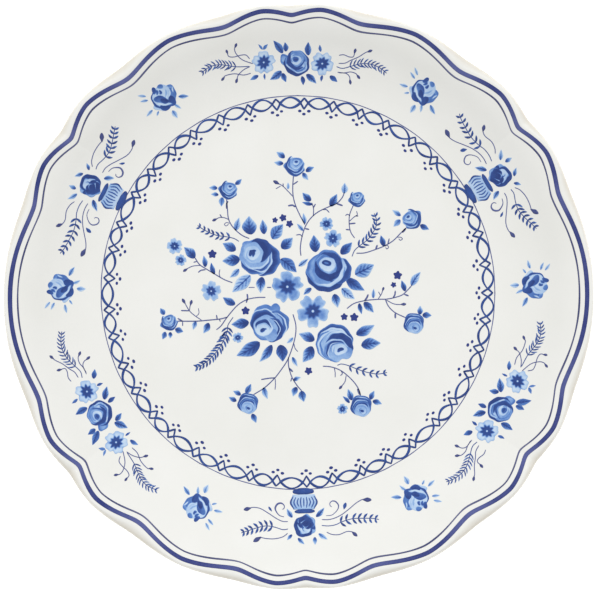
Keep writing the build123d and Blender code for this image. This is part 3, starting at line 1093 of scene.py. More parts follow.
# Leaves between the big roses, in the columns that leaf_group names.
BOUQUET_LEAVES = (
    (
        (-21.7, 26.8, -22.6, 35.4, 6.6, 0.98, 0.3, 0.3),
        (-28.8, 28.6, -27.2, 34.8, 2.9, 0.5, 0.14, 0.3),
        (-15.6, 27.0, -16.4, 33.8, 3.4, 0.86, 0.3, 0.3),
        (-11.9, 24.8, -6.9, 31.6, 5.4, 0.62, 0.42, 0.4),
        (-7.6, 20.4, -2.4, 25.4, 4.8, 0.92, 0.38, 0.3), (-8.0, 15.6, -0.6, 9.4, 5.4, 0.66, 0.52, 0.4),
        (0.3, 12.2, 4.8, 15.7, 2.3, 0.34, 0.2, 0.4),
    ),
    (
        (-26.8, 15.5, -35.0, 14.6, 5.2, 0.95, 0.32, 0.4),
        (-28.7, 19.6, -34.8, 22.8, 4.2, 0.95, 0.45, 0.2),
        (-22.0, 8.0, -30.4, 0.2, 5.8, 0.36, 0.18, 0.45),
        (-27.2, 10.9, -31.5, 7.0, 2.8, 0.44, 0.16, 0.3),
        (-16.6, 7.3, -17.3, -0.2, 4.2, 1.0, 0.18, 0.3),
        (-29.0, -5.5, -34.7, -2.2, 3.4, 0.86, 0.5, 0.2),
    ),
    (
        (8.2, 18.7, 7.3, 26.6, 4.8, 0.95, 0.46, 0.35), (19.8, 17.8, 25.0, 23.2, 4.1, 0.95, 0.55, 0.2),
        (26.4, 8.4, 35.2, 12.9, 6.4, 0.52, 0.34, 0.5), (22.3, 6.6, 30.8, 1.0, 4.6, 1.0, 0.55, 0.2),
        (20.2, 1.9, 26.3, -3.0, 4.2, 0.38, 0.12, 0.5), (16.8, -0.6, 18.4, -7.0, 3.9, 0.9, 0.16, 0.3),
        (6.2, 2.1, 2.6, -1.0, 2.4, 0.76, 0.3, 0.3),
    ),
    (
        (-22.6, -13.8, -30.8, -14.7, 4.7, 1.0, 0.45, 0.3),
        (-17.6, -23.0, -28.4, -29.2, 6.0, 0.94, 0.45, 0.4),
        (-12.0, -24.2, -17.8, -32.0, 3.8, 0.98, 0.26, 0.3),
        (-8.2, -24.1, -7.0, -31.9, 5.2, 0.98, 0.66, 0.3),
        (-2.2, -20.8, -5.2, -23.4, 1.8, 0.34, 0.18, 0.2),
    ),
    (
        (7.7, -22.0, 0.4, -19.0, 4.4, 0.98, 0.3, 0.2),
        (6.7, -24.9, 2.2, -32.2, 5.2, 0.98, 0.32, 0.35),
        (26.9, -19.4, 35.4, -15.0, 4.5, 0.9, 0.3, 0.2),
        (29.2, -24.4, 38.3, -23.3, 5.3, 0.86, 0.34, 0.5),
    ),
)


def bouquet_leaves(looks):
    """The leaves between the four big roses."""
    for number, rows in enumerate(BOUQUET_LEAVES, 1):
        leaf_group(f"bouquet_leaves_{number}", "centre_bouquet", looks["ink"], rows)


# Each spray: stems (width, points), tendrils (bud, points) and leaves, all from the bouquet out.
SPRAYS = (
    (
        (
            (0.5, (
                (1.4, 17.0), (1.1, 20.5), (1.8, 25.5), (3.4, 30.5), (6.0, 34.5), (9.5, 37.4),
                (14.5, 39.8), (18.0, 41.3), (20.5, 44.0), (21.5, 46.5),
            )),
            (0.5, ((3.2, 31.4), (0.6, 36.4), (-1.2, 40.6), (-2.2, 44.6), (-2.4, 49.0), (-2.0, 55.0))),
            (0.8, ((-1.1, 39.6), (-2.6, 40.4), (-4.6, 40.1))),
            (0.6, ((-2.2, 50.0), (-1.0, 50.8), (0.0, 51.5))), (0.5, ((-6.8, 49.0), (-6.9, 50.5))),
            (0.4, ((-8.0, 49.3), (-10.2, 48.0))), (0.45, ((7.1, 35.3), (7.2, 38.8), (6.4, 41.6))),
            (0.6, ((7.2, 39.3), (8.1, 41.0))), (0.5, ((11.5, 38.4), (13.2, 38.3), (14.5, 37.0))),
            (0.8, ((17.8, 41.2), (20.7, 40.2))), (0.5, ((2.0, 25.8), (1.0, 26.8), (-0.9, 26.6))),
            (0.7, ((3.3, 29.6), (5.2, 29.2))),
        ),
        ((2.0, ((-2.3, 44.4), (-5.0, 47.3), (-7.2, 49.4), (-9.6, 50.7))),),
        (
            (6.0, 42.4, 2.1, 46.2, 3.1, 0.95, 0.4, 0.3), (6.7, 40.7, 1.9, 41.8, 1.8, 0.9, 0.5, 0.1),
            (15.0, 39.8, 18.1, 45.6, 3.4, 0.95, 0.4, 0.3),
            (21.4, 45.8, 21.6, 50.8, 3.1, 0.42, 0.14, 0.3),
            (3.3, 31.8, 2.5, 36.8, 2.0, 0.55, 0.12, 0.2),
            (2.4, 28.6, -0.5, 31.9, 1.8, 0.55, 0.16, 0.2),
            (-4.6, 47.8, -4.6, 51.0, 1.5, 0.34, 0.12, 0.2),
            (-6.1, 62.3, -10.0, 65.0, 2.7, 0.95, 0.26, 0.1),
            (-6.7, 59.7, -11.1, 60.3, 2.3, 0.95, 0.2, 0.1),
            (3.6, 56.0, 7.5, 58.0, 2.4, 0.98, 0.35, 0.1), (2.2, 55.4, 4.8, 52.0, 2.3, 0.86, 0.2, 0.1),
        ),
    ),
    (
        (
            (0.5, (
                (-22.5, 25.0), (-25.5, 26.3), (-28.6, 28.7), (-31.0, 31.6), (-32.2, 34.6),
                (-32.6, 38.6), (-33.0, 43.6),
            )),
            (0.55, ((-35.2, 34.7), (-36.1, 36.2))),
            (0.75, ((-33.0, 38.8), (-32.9, 41.2), (-32.3, 42.3))),
            (0.35, ((-31.6, 32.0), (-33.0, 32.4), (-34.0, 31.6), (-33.2, 30.8), (-32.0, 31.7))),
        ),
        ((1.5, ((-32.0, 33.8), (-34.0, 34.6), (-36.2, 34.7), (-38.2, 33.8))),),
        (
            (-29.0, 50.0, -26.0, 52.5, 2.1, 0.9, 0.4, 0.1),
            (-37.2, 48.3, -41.1, 48.5, 2.2, 0.86, 0.2, 0.1),
            (-36.7, 45.2, -40.3, 45.5, 1.9, 0.9, 0.2, 0.1),
            (-35.0, 44.1, -35.4, 39.8, 2.6, 0.6, 0.34, 0.2),
        ),
    ),
    (
        (
            (0.45, ((26.2, 25.2), (24.4, 28.0), (23.7, 31.6), (23.9, 36.0), (25.6, 40.4))),
            (0.6, ((24.0, 29.0), (22.1, 29.2))), (0.7, ((23.7, 31.8), (26.6, 32.1))),
            (0.4, ((23.8, 33.0), (26.0, 35.0), (27.4, 35.9), (27.1, 37.7))),
            (0.6, ((26.6, 35.5), (27.9, 35.4))), (0.45, ((24.0, 35.4), (23.0, 36.2), (21.9, 35.6))),
        ),
        (), (),
    ),
    (
        (
            (0.5, (
                (27.0, 18.2), (31.0, 18.4), (36.0, 20.0), (40.0, 21.6), (44.0, 24.0), (47.5, 27.5),
                (50.3, 30.2),
            )),
            (0.85, ((36.0, 20.2), (36.7, 22.0))), (0.6, ((41.6, 22.5), (42.2, 25.0))),
            (0.4, ((46.0, 25.6), (47.5, 25.6), (48.3, 24.8), (47.3, 24.2), (46.6, 25.0))),
            (0.4, ((40.2, 21.4), (41.2, 21.9), (41.9, 21.0), (41.1, 20.2), (40.5, 21.0))),
            (1.0, ((48.2, 27.8), (49.9, 29.7))),
        ),
        (),
        (
            (39.9, 21.4, 38.3, 26.5, 2.6, 0.95, 0.55, 0.2),
            (47.5, 35.5, 43.6, 38.2, 2.2, 0.76, 0.16, 0.1),
            (47.3, 33.7, 44.2, 30.5, 2.6, 0.66, 0.3, 0.1),
            (56.5, 31.3, 60.6, 29.2, 2.6, 0.98, 0.45, 0.1),
        ),
    ),
    (
        (
            (0.5, (
                (22.6, -7.4), (26.0, -5.0), (31.0, -3.7), (37.0, -3.1), (41.0, -3.0), (45.0, -2.2),
                (48.3, -1.0), (50.5, 1.0), (52.6, 3.3),
            )),
            (0.5, ((40.4, -3.2), (42.0, -6.5), (45.0, -9.3), (50.0, -11.7))),
            (0.85, ((30.8, -3.8), (31.8, -2.4), (32.5, -0.8))),
            (0.7, ((44.0, -2.3), (44.8, -1.0), (45.0, 0.9))), (0.75, ((49.2, -0.8), (51.2, -1.5))),
            (0.4, ((38.2, -1.3), (37.2, 0.4))), (0.85, ((45.0, -9.6), (45.0, -11.9))),
        ),
        (
            (1.6, ((40.8, -3.4), (44.0, -5.1), (46.5, -5.5), (48.4, -5.4))),
            (1.2, ((37.0, -3.0), (38.5, -0.8), (39.3, 1.4))),
        ),
        (
            (30.5, -4.4, 35.0, -9.2, 3.4, 0.94, 0.36, 0.3),
            (28.3, -4.9, 29.5, -10.0, 2.1, 0.95, 0.4, 0.2),
            (34.8, -2.6, 35.0, 1.9, 1.7, 0.5, 0.18, 0.2), (49.6, 0.6, 47.9, 5.7, 2.4, 0.95, 0.5, 0.2),
            (52.4, 3.2, 56.7, 9.6, 3.4, 0.44, 0.22, 0.4),
            (56.3, -10.2, 56.5, -6.0, 2.5, 0.98, 0.24, 0.1),
            (57.5, -10.4, 61.8, -10.6, 2.8, 0.95, 0.45, 0.1),
        ),
    ),
    (
        (
            (0.5, (
                (-15.0, -2.2), (-19.0, -2.3), (-23.5, -3.2), (-27.5, -5.5), (-30.5, -8.6),
                (-33.2, -12.0), (-35.5, -15.3), (-37.7, -17.2),
            )),
            (0.55, ((-32.6, -11.3), (-36.0, -12.2), (-41.0, -12.7), (-47.0, -13.2), (-56.0, -13.2))),
            (0.6, ((-50.3, -8.4), (-54.1, -8.3))),
            (0.35, ((-47.0, -10.9), (-45.8, -9.6), (-46.0, -7.2))),
            (0.75, ((-23.5, -0.6), (-23.3, -2.4), (-23.9, -4.7))),
            (0.6, ((-37.3, -12.3), (-37.7, -10.3))), (0.5, ((-36.3, -12.3), (-35.9, -13.5))),
            (0.5, ((-53.3, -13.4), (-53.3, -15.4))), (0.7, ((-53.4, -13.2), (-55.6, -11.9))),
            (0.5, ((-14.3, 2.4), (-12.3, 2.4))), (0.4, ((-22.8, 2.4), (-20.0, 2.4))),
        ),
        (
            (1.7, ((-44.5, -12.8), (-48.0, -10.4), (-50.3, -8.2), (-52.6, -4.3))),
            (1.6, ((-50.1, -8.2), (-49.9, -6.4), (-49.5, -5.0))),
        ),
        (
            (-47.2, -13.3, -48.5, -17.2, 2.2, 0.66, 0.16, 0.2),
            (-41.2, -14.0, -43.7, -18.8, 3.1, 0.95, 0.3, 0.2),
            (-61.7, -10.2, -63.6, -7.2, 2.4, 0.76, 0.45, 0.1),
            (-56.8, -16.9, -53.0, -18.1, 2.8, 0.82, 0.45, 0.2),
            (-61.3, -18.1, -62.6, -21.6, 2.3, 0.76, 0.45, 0.1),
            (-59.0, -18.2, -59.1, -21.2, 1.9, 1.0, 0.3, 0.1),
        ),
    ),
    (
        (
            (0.5, (
                (-30.3, 4.6), (-34.0, 6.0), (-38.5, 8.6), (-42.5, 11.0), (-45.5, 13.0), (-47.7, 16.2),
            )),
            (0.6, ((-42.7, 10.6), (-44.8, 10.3), (-46.1, 9.3))),
            (0.55, ((-46.8, 14.4), (-48.3, 14.0))),
            (0.4, ((-36.0, 7.2), (-36.4, 8.8), (-36.1, 10.7))),
        ),
        ((1.5, ((-45.0, 12.6), (-48.4, 12.3), (-50.4, 11.5), (-51.8, 10.6))),),
        (
            (-47.6, 16.0, -52.7, 21.0, 4.2, 0.95, 0.36, 0.35),
            (-42.8, 11.8, -43.6, 17.1, 2.4, 0.95, 0.36, 0.1),
            (-38.6, 8.4, -40.1, 13.9, 2.2, 0.96, 0.6, 0.1),
        ),
    ),
    (
        (
            (0.5, (
                (-2.3, -10.0), (-1.0, -15.0), (-1.2, -20.0), (-2.8, -26.0), (-5.0, -31.5),
                (-8.0, -36.0), (-11.0, -39.8), (-15.5, -44.0), (-20.6, -47.2),
            )),
            (0.5, ((-4.4, -30.0), (-4.3, -34.0), (-2.8, -39.0), (-0.5, -42.8), (1.8, -45.5))),
            (0.4, ((-1.9, -23.5), (-1.3, -25.8), (0.0, -27.3))),
            (0.6, ((-10.6, -39.4), (-13.5, -39.6), (-17.0, -40.2))),
            (0.4, ((-10.5, -39.8), (-10.4, -42.5), (-10.6, -44.9))),
            (0.85, ((-4.0, -35.0), (-2.4, -36.6))), (0.55, ((-2.9, -39.4), (-3.3, -41.1))),
        ),
        (),
        (
            (-15.9, -43.8, -14.0, -49.2, 2.6, 0.66, 0.16, 0.2),
            (-2.6, -29.8, -0.2, -34.2, 2.0, 0.66, 0.12, 0.2),
            (-2.2, -40.6, 1.4, -39.1, 1.9, 0.95, 0.2, 0.1),
            (-0.6, -43.6, -2.3, -48.0, 2.8, 0.95, 0.26, 0.1),
            (1.6, -45.4, 2.8, -50.5, 3.5, 0.82, 0.34, 0.3),
            (-24.1, -46.6, -21.7, -42.2, 2.7, 0.72, 0.45, 0.2),
            (-26.4, -47.3, -30.0, -45.5, 2.2, 0.95, 0.3, 0.1),
            (-28.4, -50.2, -32.0, -48.3, 2.2, 0.95, 0.35, 0.1),
            (-21.2, -56.0, -19.3, -60.2, 2.6, 0.95, 0.45, 0.1),
        ),
    ),
    (
        (
            (0.5, (
                (11.5, -34.0), (15.0, -34.3), (19.0, -35.6), (22.5, -38.0), (26.0, -41.5),
                (28.2, -45.0), (29.3, -49.0),
            )),
            (0.4, ((16.8, -34.8), (17.2, -37.0), (17.2, -39.2))),
            (0.45, ((20.0, -36.2), (20.5, -37.5), (19.6, -38.4))),
            (1.1, ((27.6, -44.4), (28.7, -47.3))),
        ),
        ((1.4, ((22.3, -38.2), (21.8, -41.0), (20.6, -42.8), (20.0, -43.5))),),
        (
            (24.9, -49.8, 23.1, -44.5, 2.8, 0.9, 0.26, 0.3),
            (23.9, -51.0, 20.7, -47.9, 1.7, 0.95, 0.5, 0.1),
            (33.4, -49.5, 35.3, -45.4, 2.4, 0.95, 0.4, 0.1),
            (34.5, -50.1, 38.8, -51.5, 2.5, 1.0, 0.35, 0.1),
        ),
    ),
)
# Ferns: points of the stem, pairs of leaflets, their length, and where along they start.
FERNS = (
    ((
        (-27.3, 23.7), (-29.5, 25.0), (-33.0, 25.8), (-38.0, 26.6), (-43.0, 28.8), (-46.5, 31.1),
    ), 7, 2.5, 0.18),
    ((
        (-30.0, -11.4), (-32.3, -15.0), (-33.0, -19.0), (-36.0, -25.0), (-40.0, -30.0),
        (-44.0, -33.3), (-47.4, -34.9),
    ), 15, 3.1, 0.16),
    ((
        (25.0, 16.7), (26.2, 19.5), (28.5, 21.6), (32.0, 24.3), (34.5, 27.5), (36.2, 31.0),
        (36.2, 34.0), (35.2, 36.8),
    ), 9, 2.9, 0.2),
    ((
        (18.2, -33.6), (20.2, -33.0), (23.5, -33.8), (27.0, -35.2), (31.0, -36.6), (36.0, -37.6),
        (39.0, -37.4), (41.3, -36.9),
    ), 6, 2.6, 0.2),
)


def sprays(looks):
    """The twigs that run out from the bouquet, with their leaves, and the ferns."""
    node = "centre_bouquet"
    for number, (stems, buds, leaves) in enumerate(SPRAYS, 1):
        twig_group(f"spray_stems_{number}", node, looks["stem"], stems, buds)
        if leaves:
            leaf_group(f"spray_leaves_{number}", node, looks["ink"], leaves)
    for number, (points, pairs, length, first) in enumerate(FERNS, 1):
        film = Film()
        film.fern(points, pairs, length, 0.72, 0.86, 50, first)
        film.save(f"bouquet_fern_{number}", node, looks["ink"])


# Motifs on the rim, drawn upright with y as the distance from the print's centre.
# Angle of each garland, and how much farther out than the first it sits.
GARLANDS = ((90.7, 0.0), (211.8, 1.3), (330.4, 1.9))
URN_ANGLES = (29.9, 152.6, 271.6)
ROSEBUD_ANGLES = (2.0, 58.0, 124.6, 179.0, 245.0, 300.0)
GARLAND_HEART = 106.2
URN_HEART = 107.9
ROSEBUD_HEART = 109.4

GARLAND_ROSE = (
    (0.9, 1.5, 4.7, 4.2, 0.5), (-5.0, 1.6, 2.0, 2.6, 0.58), (-5.3, 1.9, 1.2, 1.4, 0.4),
    (1.9, -2.2, 4.3, 2.6, 0.42), (0.5, -0.2, 5.7, -112, 1.7, 1.0, 0.95),
    (0.9, -0.4, 5.8, -32, 1.3, 0.98, 0.9), (4.3, -1.0, 1.3, 1.7, 0.22),
    (2.1, -1.6, 3.3, -84, 0.7, 0.12, 0.2), (1.6, -0.9, 3.3, -76, 0.7, 0.7, 0.6),
    (1.0, 1.5, 3.9, 75, 1.4, 0.56, 0.42), (0.7, 1.2, 4.6, 212, 2.1, 0.95, 0.86),
    (0.9, 1.2, 3.6, -70, 0.8, 0.86, 0.8), (0.6, 1.7, 2.8, 2.6, 0.14),
    (0.9, 1.9, 2.4, 62, 1.1, 0.5, 0.44), (0.1, 1.6, 1.5, 1.3, 0.66),
    (0.6, 1.9, 1.5, 30, 0.4, 0.16, 0.16), (0.2, 1.3, 1.1, 0.7, 0.84),
    (-0.9, 1.2, 1.1, 200, 0.4, 0.7, 0.7),
)
URN_ROSE = (
    (-0.1, -0.6, 5.0, 4.7, 0.5), (0.3, 0.4, 4.9, 30, 3.8, 0.97, 0.9), (-3.4, -2.4, 1.9, 1.5, 0.4),
    (3.0, -3.4, 1.9, 1.4, 0.44), (-1.8, 0.5, 3.1, 2.3, 0.12), (-0.7, 1.0, 4.4, 164, 1.6, 0.97, 0.9),
    (1.3, -1.9, 3.5, 2.6, 0.96), (-1.5, -3.5, 2.4, 1.2, 0.92), (-0.6, -0.7, 3.4, 62, 0.5, 0.12, 0.2),
    (2.2, -1.0, 3.0, 118, 0.45, 0.16, 0.2), (0.6, -2.6, 3.2, -96, 0.5, 0.5, 0.6),
    (0.5, 2.2, 1.9, 1.2, 0.14), (1.2, 1.7, 1.5, 1.0, 0.96), (-1.0, 1.1, 1.3, 0.6, 0.84),
    (-1.5, 0.9, 0.9, 0.5, 0.2),
)
BUD_ROSE = (
    (-0.7, -4.3, 3.9, 1.8, 0.2), (1.0, -4.3, 2.5, 1.7, 0.9), (1.8, -3.6, 2.0, 1.6, 0.97),
    (3.4, 0.8, 2.6, 5.0, 0.62), (3.6, -1.6, 2.3, 2.4, 0.86), (2.7, 5.1, 1.6, 0.9, 0.56),
    (4.3, 3.8, 0.32, 1.3, 0.06), (-0.3, 2.2, 3.5, 3.9, 0.08), (1.1, 1.9, 0.45, 2.1, 0.36),
    (2.2, 1.2, 0.4, 3.0, 0.2), (-0.6, -2.9, 4.3, 0.7, 0.08), (-0.3, 0.1, 5.4, 222, 0.9, 0.9, 0.86),
    (-1.3, -0.9, 3.1, 1.7, 0.72), (0.6, -1.5, 1.9, 1.2, 0.95), (-4.4, 3.2, 1.0, 1.7, 0.86),
    (-1.4, 4.9, 1.4, 1.1, 0.62), (-3.0, 2.2, 0.55, 1.2, 0.78), (-1.6, 2.2, 0.85, 1.0, 0.8),
    (-2.2, 2.0, 0.25, 0.9, 0.2),
)


# The garland's leaves, tendrils (bud, points) and ferns (side, points, pairs of leaflets).
GARLAND_LEAVES = (
    (-5.6, 110.6, -9.9, 116.4, 3.1, 0.72, 0.66, 0.2), (-4.2, 111.3, -4.6, 115.6, 2.4, 0.8, 0.66, 0.1),
    (6.1, 109.4, 6.2, 115.6, 3.0, 0.74, 0.62, 0.2), (-14.9, 112.3, -16.9, 114.8, 1.1, 0.6, 0.6, 0),
    (-14.6, 112.3, -12.5, 114.8, 1.5, 0.66, 0.6, 0), (11.9, 111.0, 11.5, 114.3, 1.4, 0.7, 0.7, 0),
    (-6.3, 102.4, -11.7, 98.5, 3.3, 0.7, 0.42, 0.4), (-5.9, 101.5, -4.3, 97.3, 2.4, 0.92, 0.55, 0.1),
    (-14.2, 101.3, -14.0, 98.4, 1.0, 0.8, 0.7, 0), (-17.0, 100.5, -20.9, 98.5, 1.9, 0.9, 0.5, 0),
    (3.1, 100.0, 3.6, 95.8, 2.0, 0.98, 0.8, 0), (5.1, 100.8, 9.7, 96.5, 2.9, 0.86, 0.4, 0.4),
    (12.5, 100.3, 11.9, 97.3, 1.3, 0.86, 0.8, 0), (15.9, 99.9, 19.4, 97.1, 2.3, 0.95, 0.66, 0),
)
GARLAND_TENDRILS = (
    (1.4, ((-19.5, 105.9), (-24.4, 107.8), (-27.2, 110.6), (-27.9, 112.8), (-27.4, 114.0))),
    (1.3, (
        (-20.9, 108.1), (-22.6, 109.9), (-25.0, 109.9), (-28.3, 109.1), (-30.6, 109.4),
        (-31.3, 111.2),
    )),
    (1.5, ((-20.7, 104.7), (-23.8, 103.2), (-26.3, 100.8), (-27.0, 98.6))),
    (1.4, ((-20.4, 101.6), (-23.8, 100.8), (-28.1, 101.4), (-32.2, 100.6), (-33.2, 99.4))),
    (1.5, ((20.2, 109.3), (22.5, 109.5), (25.0, 108.5), (26.9, 108.6), (27.6, 110.8))),
    (1.5, ((20.0, 105.6), (23.1, 105.7), (25.6, 106.9), (29.3, 108.4), (32.4, 110.3), (34.2, 110.9))),
    (1.5, ((19.4, 101.6), (22.5, 101.2), (25.6, 101.6), (28.0, 100.8), (28.9, 99.6))),
    (1.5, ((20.0, 101.3), (23.4, 101.0), (25.0, 99.5), (25.3, 97.4))),
)
GARLAND_FERNS = (
    ("left", (
        (-21.3, 104.7), (-26.9, 104.6), (-31.2, 105.2), (-35.4, 105.6), (-39.6, 104.6),
        (-43.4, 101.9),
    ), 9),
    ("right", (
        (19.1, 104.1), (22.0, 103.3), (26.5, 104.4), (30.5, 105.3), (35.0, 105.0), (39.0, 103.3),
        (42.3, 100.7),
    ), 9),
)


def garland(number, angle, outward, looks):
    """A rose between two pale flowers, with leaves, budding tendrils and a fern at each end."""
    node = f"garland_{number}"
    place = {"turn": angle - 90, "at": (0.0, outward)}
    film = Film(**place)
    film.rose(0, GARLAND_HEART, GARLAND_ROSE)
    film.save(f"{node}_rose", node, looks["ink"])
    for side, x, y, spin in (("left", -14.5, 106.5, 20), ("right", 12.5, 105.6, 52)):
        film = Film(**place)
        film.flower(x, y, 5.4, spin, (0.05, 0.24), 0.5, 0.24, 0.62)
        film.save(f"{node}_{side}_flower", node, looks["ink"])
    leaf_group(f"{node}_leaves", node, looks["ink"], GARLAND_LEAVES, **place)
    twig_group(f"{node}_tendrils", node, looks["stem"], (), GARLAND_TENDRILS, **place)
    for side, points, pairs in GARLAND_FERNS:
        film = Film(**place)
        film.fern(points, pairs + 2, 2.9, 0.5, 0.84, 50, 0.24)
        film.save(f"{node}_{side}_fern", node, looks["ink"])


def pot(film):
    """A ribbed pot: dark foot on the border, pale round body with dark ribs, dark collar."""
    foot = ((-4.8, 92.0), (0.0, 91.8), (5.0, 92.0))
    film.stroke(foot, (2.7, 3.0, 2.7), (0.92, 0.84, 0.93), (0.7, 0.7), TOP_LIFT)
    rows, columns = np.linspace(0, 1, 20)[:, None], np.linspace(-1, 1, 24)[None, :]
    half = 4.6 + 1.35 * np.sin(pi * (0.12 + 0.8 * rows)) ** 1.2
    body_tone = 0.1 + 0.16 * rows + 0.1 * columns**4
    film.patch(half * columns, 93.3 + 6.9 * rows + 0 * columns, body_tone, INK_LIFT)
    for number, across in enumerate(np.linspace(-0.97, 0.97, 9)):
        edge = abs(across) > 0.9
        low, high = (94.0, 99.9) if edge else (94.9 - 0.5 * (number % 2), 98.9 + 0.6 * (number % 2))
        bow = 1.35 * across
        points = ((across * 4.9, low), (across * 4.9 + bow, (low + high) / 2), (across * 4.75, high))
        widths = (0.4, 0.8 if edge else 0.62, 0.45)
        tones = (0.7, 0.88 if edge else 0.76, 0.7)
        film.stroke(points, widths, tones, (0.6, 0.6), TOP_LIFT)
    collar = ((-5.0, 101.1), (0.0, 101.0), (4.4, 101.2))
    film.stroke(collar, (1.8, 2.0, 1.8), (0.9, 0.8, 0.93), (0.8, 0.8), COLLAR_LIFT)


# The same for the spray in a pot. Its curls are strokes with a width for each point.
URN_LEAVES = (
    (5.5, 103.8, 7.9, 99.6, 2.2, 0.66, 0.16, 0.3), (-5.5, 103.8, -9.4, 99.6, 2.3, 0.76, 0.24, 0.4),
    (5.8, 111.6, 8.2, 114.1, 1.5, 0.95, 0.4, 0), (3.2, 113.3, 0.2, 116.2, 1.8, 0.76, 0.2, 0.2),
    (-4.6, 113.0, -4.7, 116.6, 1.9, 0.86, 0.3, 0), (-6.4, 111.5, -10.6, 114.3, 2.0, 0.5, 0.12, 0.2),
    (16.4, 98.5, 14.8, 100.8, 1.0, 0.9, 0.9, 0), (-19.4, 97.6, -18.4, 100.8, 1.6, 0.92, 0.86, 0),
)
URN_CURLS = (
    (np.array((0.35, 0.4, 0.6, 0.8, 0.85, 0.7, 0.45, 0.4, 0.35)), (
        (9.3, 103.4), (11.5, 102.6), (13.0, 100.5), (13.2, 98.9), (12.0, 97.3), (10.3, 97.1),
        (9.1, 98.2), (9.2, 99.4), (10.0, 100.0),
    )),
    (np.array((0.3, 0.35, 0.4, 0.55, 0.6, 0.5, 0.4, 0.35, 0.3)), (
        (-10.1, 103.4), (-12.9, 103.1), (-15.3, 101.0), (-16.0, 98.9), (-14.8, 97.1), (-13.2, 96.7),
        (-12.0, 97.7), (-12.2, 98.9), (-12.9, 99.4),
    )),
)
URN_TENDRILS = (
    (2.2, (
        (7.5, 105.6), (10.1, 105.4), (12.9, 104.0), (16.2, 101.7), (20.0, 99.3), (23.3, 98.6),
        (25.6, 99.1),
    )),
    (2.6, (
        (-8.0, 105.1), (-11.1, 105.2), (-14.3, 104.5), (-17.6, 102.9), (-20.9, 100.5), (-24.2, 97.9),
        (-27.0, 96.4), (-28.6, 96.5),
    )),
    (2.6, ((7.8, 110.9), (10.1, 112.5), (13.9, 113.3), (17.6, 113.1), (20.5, 112.5), (21.4, 113.0))),
    (2.0, (
        (-10.1, 110.9), (-12.5, 112.0), (-15.8, 112.2), (-19.5, 110.9), (-21.9, 111.1),
        (-22.7, 111.8),
    )),
)
URN_FERNS = (
    ("left", (
        (7.6, 109.0), (10.1, 109.2), (14.0, 107.9), (18.0, 107.3), (22.6, 108.2), (26.2, 109.3),
        (29.4, 110.2),
    ), 6),
    ("right", (
        (-8.0, 107.8), (-11.1, 108.1), (-14.5, 107.6), (-17.6, 106.3), (-22.3, 105.1), (-27.0, 105.0),
        (-31.7, 105.2), (-34.6, 105.8),
    ), 6),
)


def urn_spray(number, angle, looks):
    """A rose in a pot, with curling tendrils and a fern to each side."""
    node, turn = f"urn_spray_{number}", angle - 90
    film = Film(turn)
    pot(film)
    film.save(f"{node}_pot", node, looks["ink"])
    film = Film(turn)
    film.rose(-0.1, URN_HEART, URN_ROSE, -63, 0.94)
    film.save(f"{node}_rose", node, looks["ink"])
    leaf_group(f"{node}_leaves", node, looks["ink"], URN_LEAVES, turn=turn)
    twig_group(f"{node}_tendrils", node, looks["stem"], URN_CURLS, URN_TENDRILS, turn=turn)
    for side, points, pairs in URN_FERNS:
        film = Film(turn)
        film.fern(points, pairs + 1, 2.9, 0.8, 0.88, 60, 0.3)
        film.save(f"{node}_{side}_fern", node, looks["ink"])


# A rosebud's leaves: angle, distance from its heart, length, width, dark tone, pale tone.
ROSEBUD_LEAVES = (
    (-31, 6.9, 4.9, 1.9, 0.5, 0.3), (-66, 5.8, 3.9, 1.5, 0.3, 0.1), (-90, 7.2, 4.3, 2.3, 0.4, 0.06),
    (-144, 6.6, 2.5, 1.1, 0.34, 0.1), (-166, 7.6, 4.2, 1.6, 0.34, 0.06),
    (156, 7.2, 3.8, 1.4, 0.36, 0.1), (142, 8.0, 4.0, 1.4, 0.24, 0.06),
)


def rosebud(number, angle, looks):
    """A single rose on the rim with a few pale leaves."""
    node, turn = f"rosebud_{number}", angle - 90
    film = Film(turn)
    film.rose(0, ROSEBUD_HEART, BUD_ROSE, -35)
    film.save(f"{node}_rose", node, looks["ink"])
    rows = []
    for way, start, length, width, dark, pale in ROSEBUD_LEAVES:
        x, y = turn_of(way)
        rows.append((x * start, ROSEBUD_HEART + y * start, x * (start + length),
                     ROSEBUD_HEART + y * (start + length), width, dark, pale, 0.2))
    leaf_group(f"{node}_leaves", node, looks["ink"], rows, turn=turn)


def rim_motifs(looks):
    """All twelve motifs on the rim."""
    for number, (angle, outward) in enumerate(GARLANDS, 1):
        garland(number, angle, outward, looks)
    for number, angle in enumerate(URN_ANGLES, 1):
        urn_spray(number, angle, looks)
    for number, angle in enumerate(ROSEBUD_ANGLES, 1):
        rosebud(number, angle, looks)


# ---- stage ------------------------------------------------------------------------------


# Metres and degrees from here on. The sky is the world's strength and SUN is the lamp's.
FLOOR_GLOW = 0.5
SKY = 0.567
SUN = 1.54
SUN_ELEVATION = 60
CAMERA_AWAY = 5.0
PICTURE_WIDTH = 0.2766
SUN_WIDTH = 40
FLOOR_HALF = 60.0
RIM_HEIGHT = 0.022
CAMERA_X = 0.00065
CAMERA_Y = -0.00023


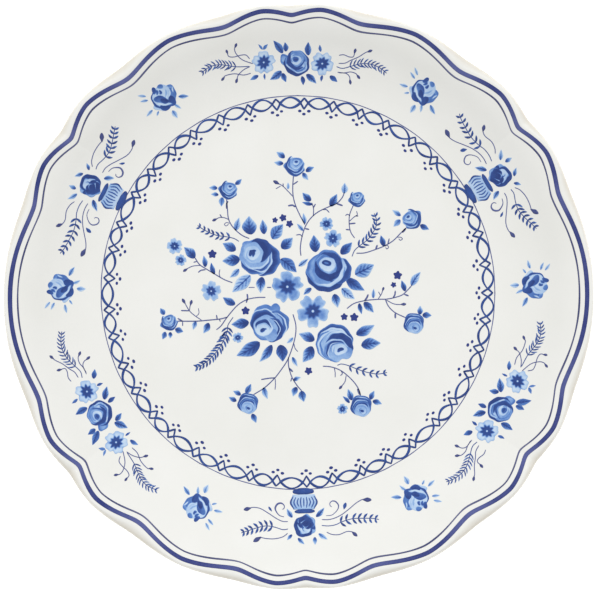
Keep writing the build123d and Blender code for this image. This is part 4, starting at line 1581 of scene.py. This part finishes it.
def build_stage():
    """A plain pale floor, a bright even sky, one soft sun, and the camera straight above."""
    side = FLOOR_HALF
    corners = [(-side, -side, 0), (side, -side, 0), (side, side, 0), (-side, side, 0)]
    mesh = bpy.data.meshes.new("floor")
    mesh.from_pydata(corners, [], [(0, 1, 2, 3)])
    look = Look("floor_white", roughness=0.9)
    cloudy = look.span(look.noise(3), 0.3, 0.7, 0, 1)
    look.colour(look.mix(cloudy, (0.93, 0.93, 0.93, 1), (0.95, 0.95, 0.95, 1)))
    look.shader.inputs["Emission Color"].default_value = (1, 1, 1, 1)
    look.shader.inputs["Emission Strength"].default_value = FLOOR_GLOW
    mesh.materials.append(look.material)
    floor = bpy.data.objects.new("floor", mesh)
    bpy.context.scene.collection.objects.link(floor)

    world = bpy.data.worlds.new("sky")
    bpy.context.scene.world = world
    world.use_nodes = True
    world.node_tree.nodes["Background"].inputs["Color"].default_value = (1.0, 1.0, 1.0, 1)
    world.node_tree.nodes["Background"].inputs["Strength"].default_value = SKY

    sun = bpy.data.lights.new("sun", "SUN")
    sun.energy = SUN
    sun.angle = radians(SUN_WIDTH)
    lamp = bpy.data.objects.new("sun", sun)
    lamp.rotation_euler = (-radians(90 - SUN_ELEVATION), 0, 0)
    # The glaze would mirror the lamp as a burnt-out patch on the rim.
    lamp.visible_glossy = False
    bpy.context.scene.collection.objects.link(lamp)

    view = bpy.data.cameras.new("camera")
    view.sensor_width = 36.0
    view.lens = view.sensor_width * CAMERA_AWAY / PICTURE_WIDTH
    view.clip_end = 100
    camera = bpy.data.objects.new("camera", view)
    camera.location = (CAMERA_X, CAMERA_Y, RIM_HEIGHT + CAMERA_AWAY)
    bpy.context.scene.collection.objects.link(camera)
    bpy.context.scene.camera = camera
    bpy.context.scene.view_settings.view_transform = "Standard"


looks = make_looks()
glaze_coats(looks["glaze"])
clay_body(looks["clay"])
rim_stroke("rim_band_paint", "rim_band", BAND_INSET, BAND_WIDTH, looks["band"], 0.07)
rim_stroke("rim_line_paint", "rim_line", LINE_INSET, LINE_WIDTH, looks["line"], 0.1)
chain_border(looks)
centre_roses(looks)
centre_flowers(looks)
bouquet_leaves(looks)
sprays(looks)
rim_motifs(looks)
build_stage()
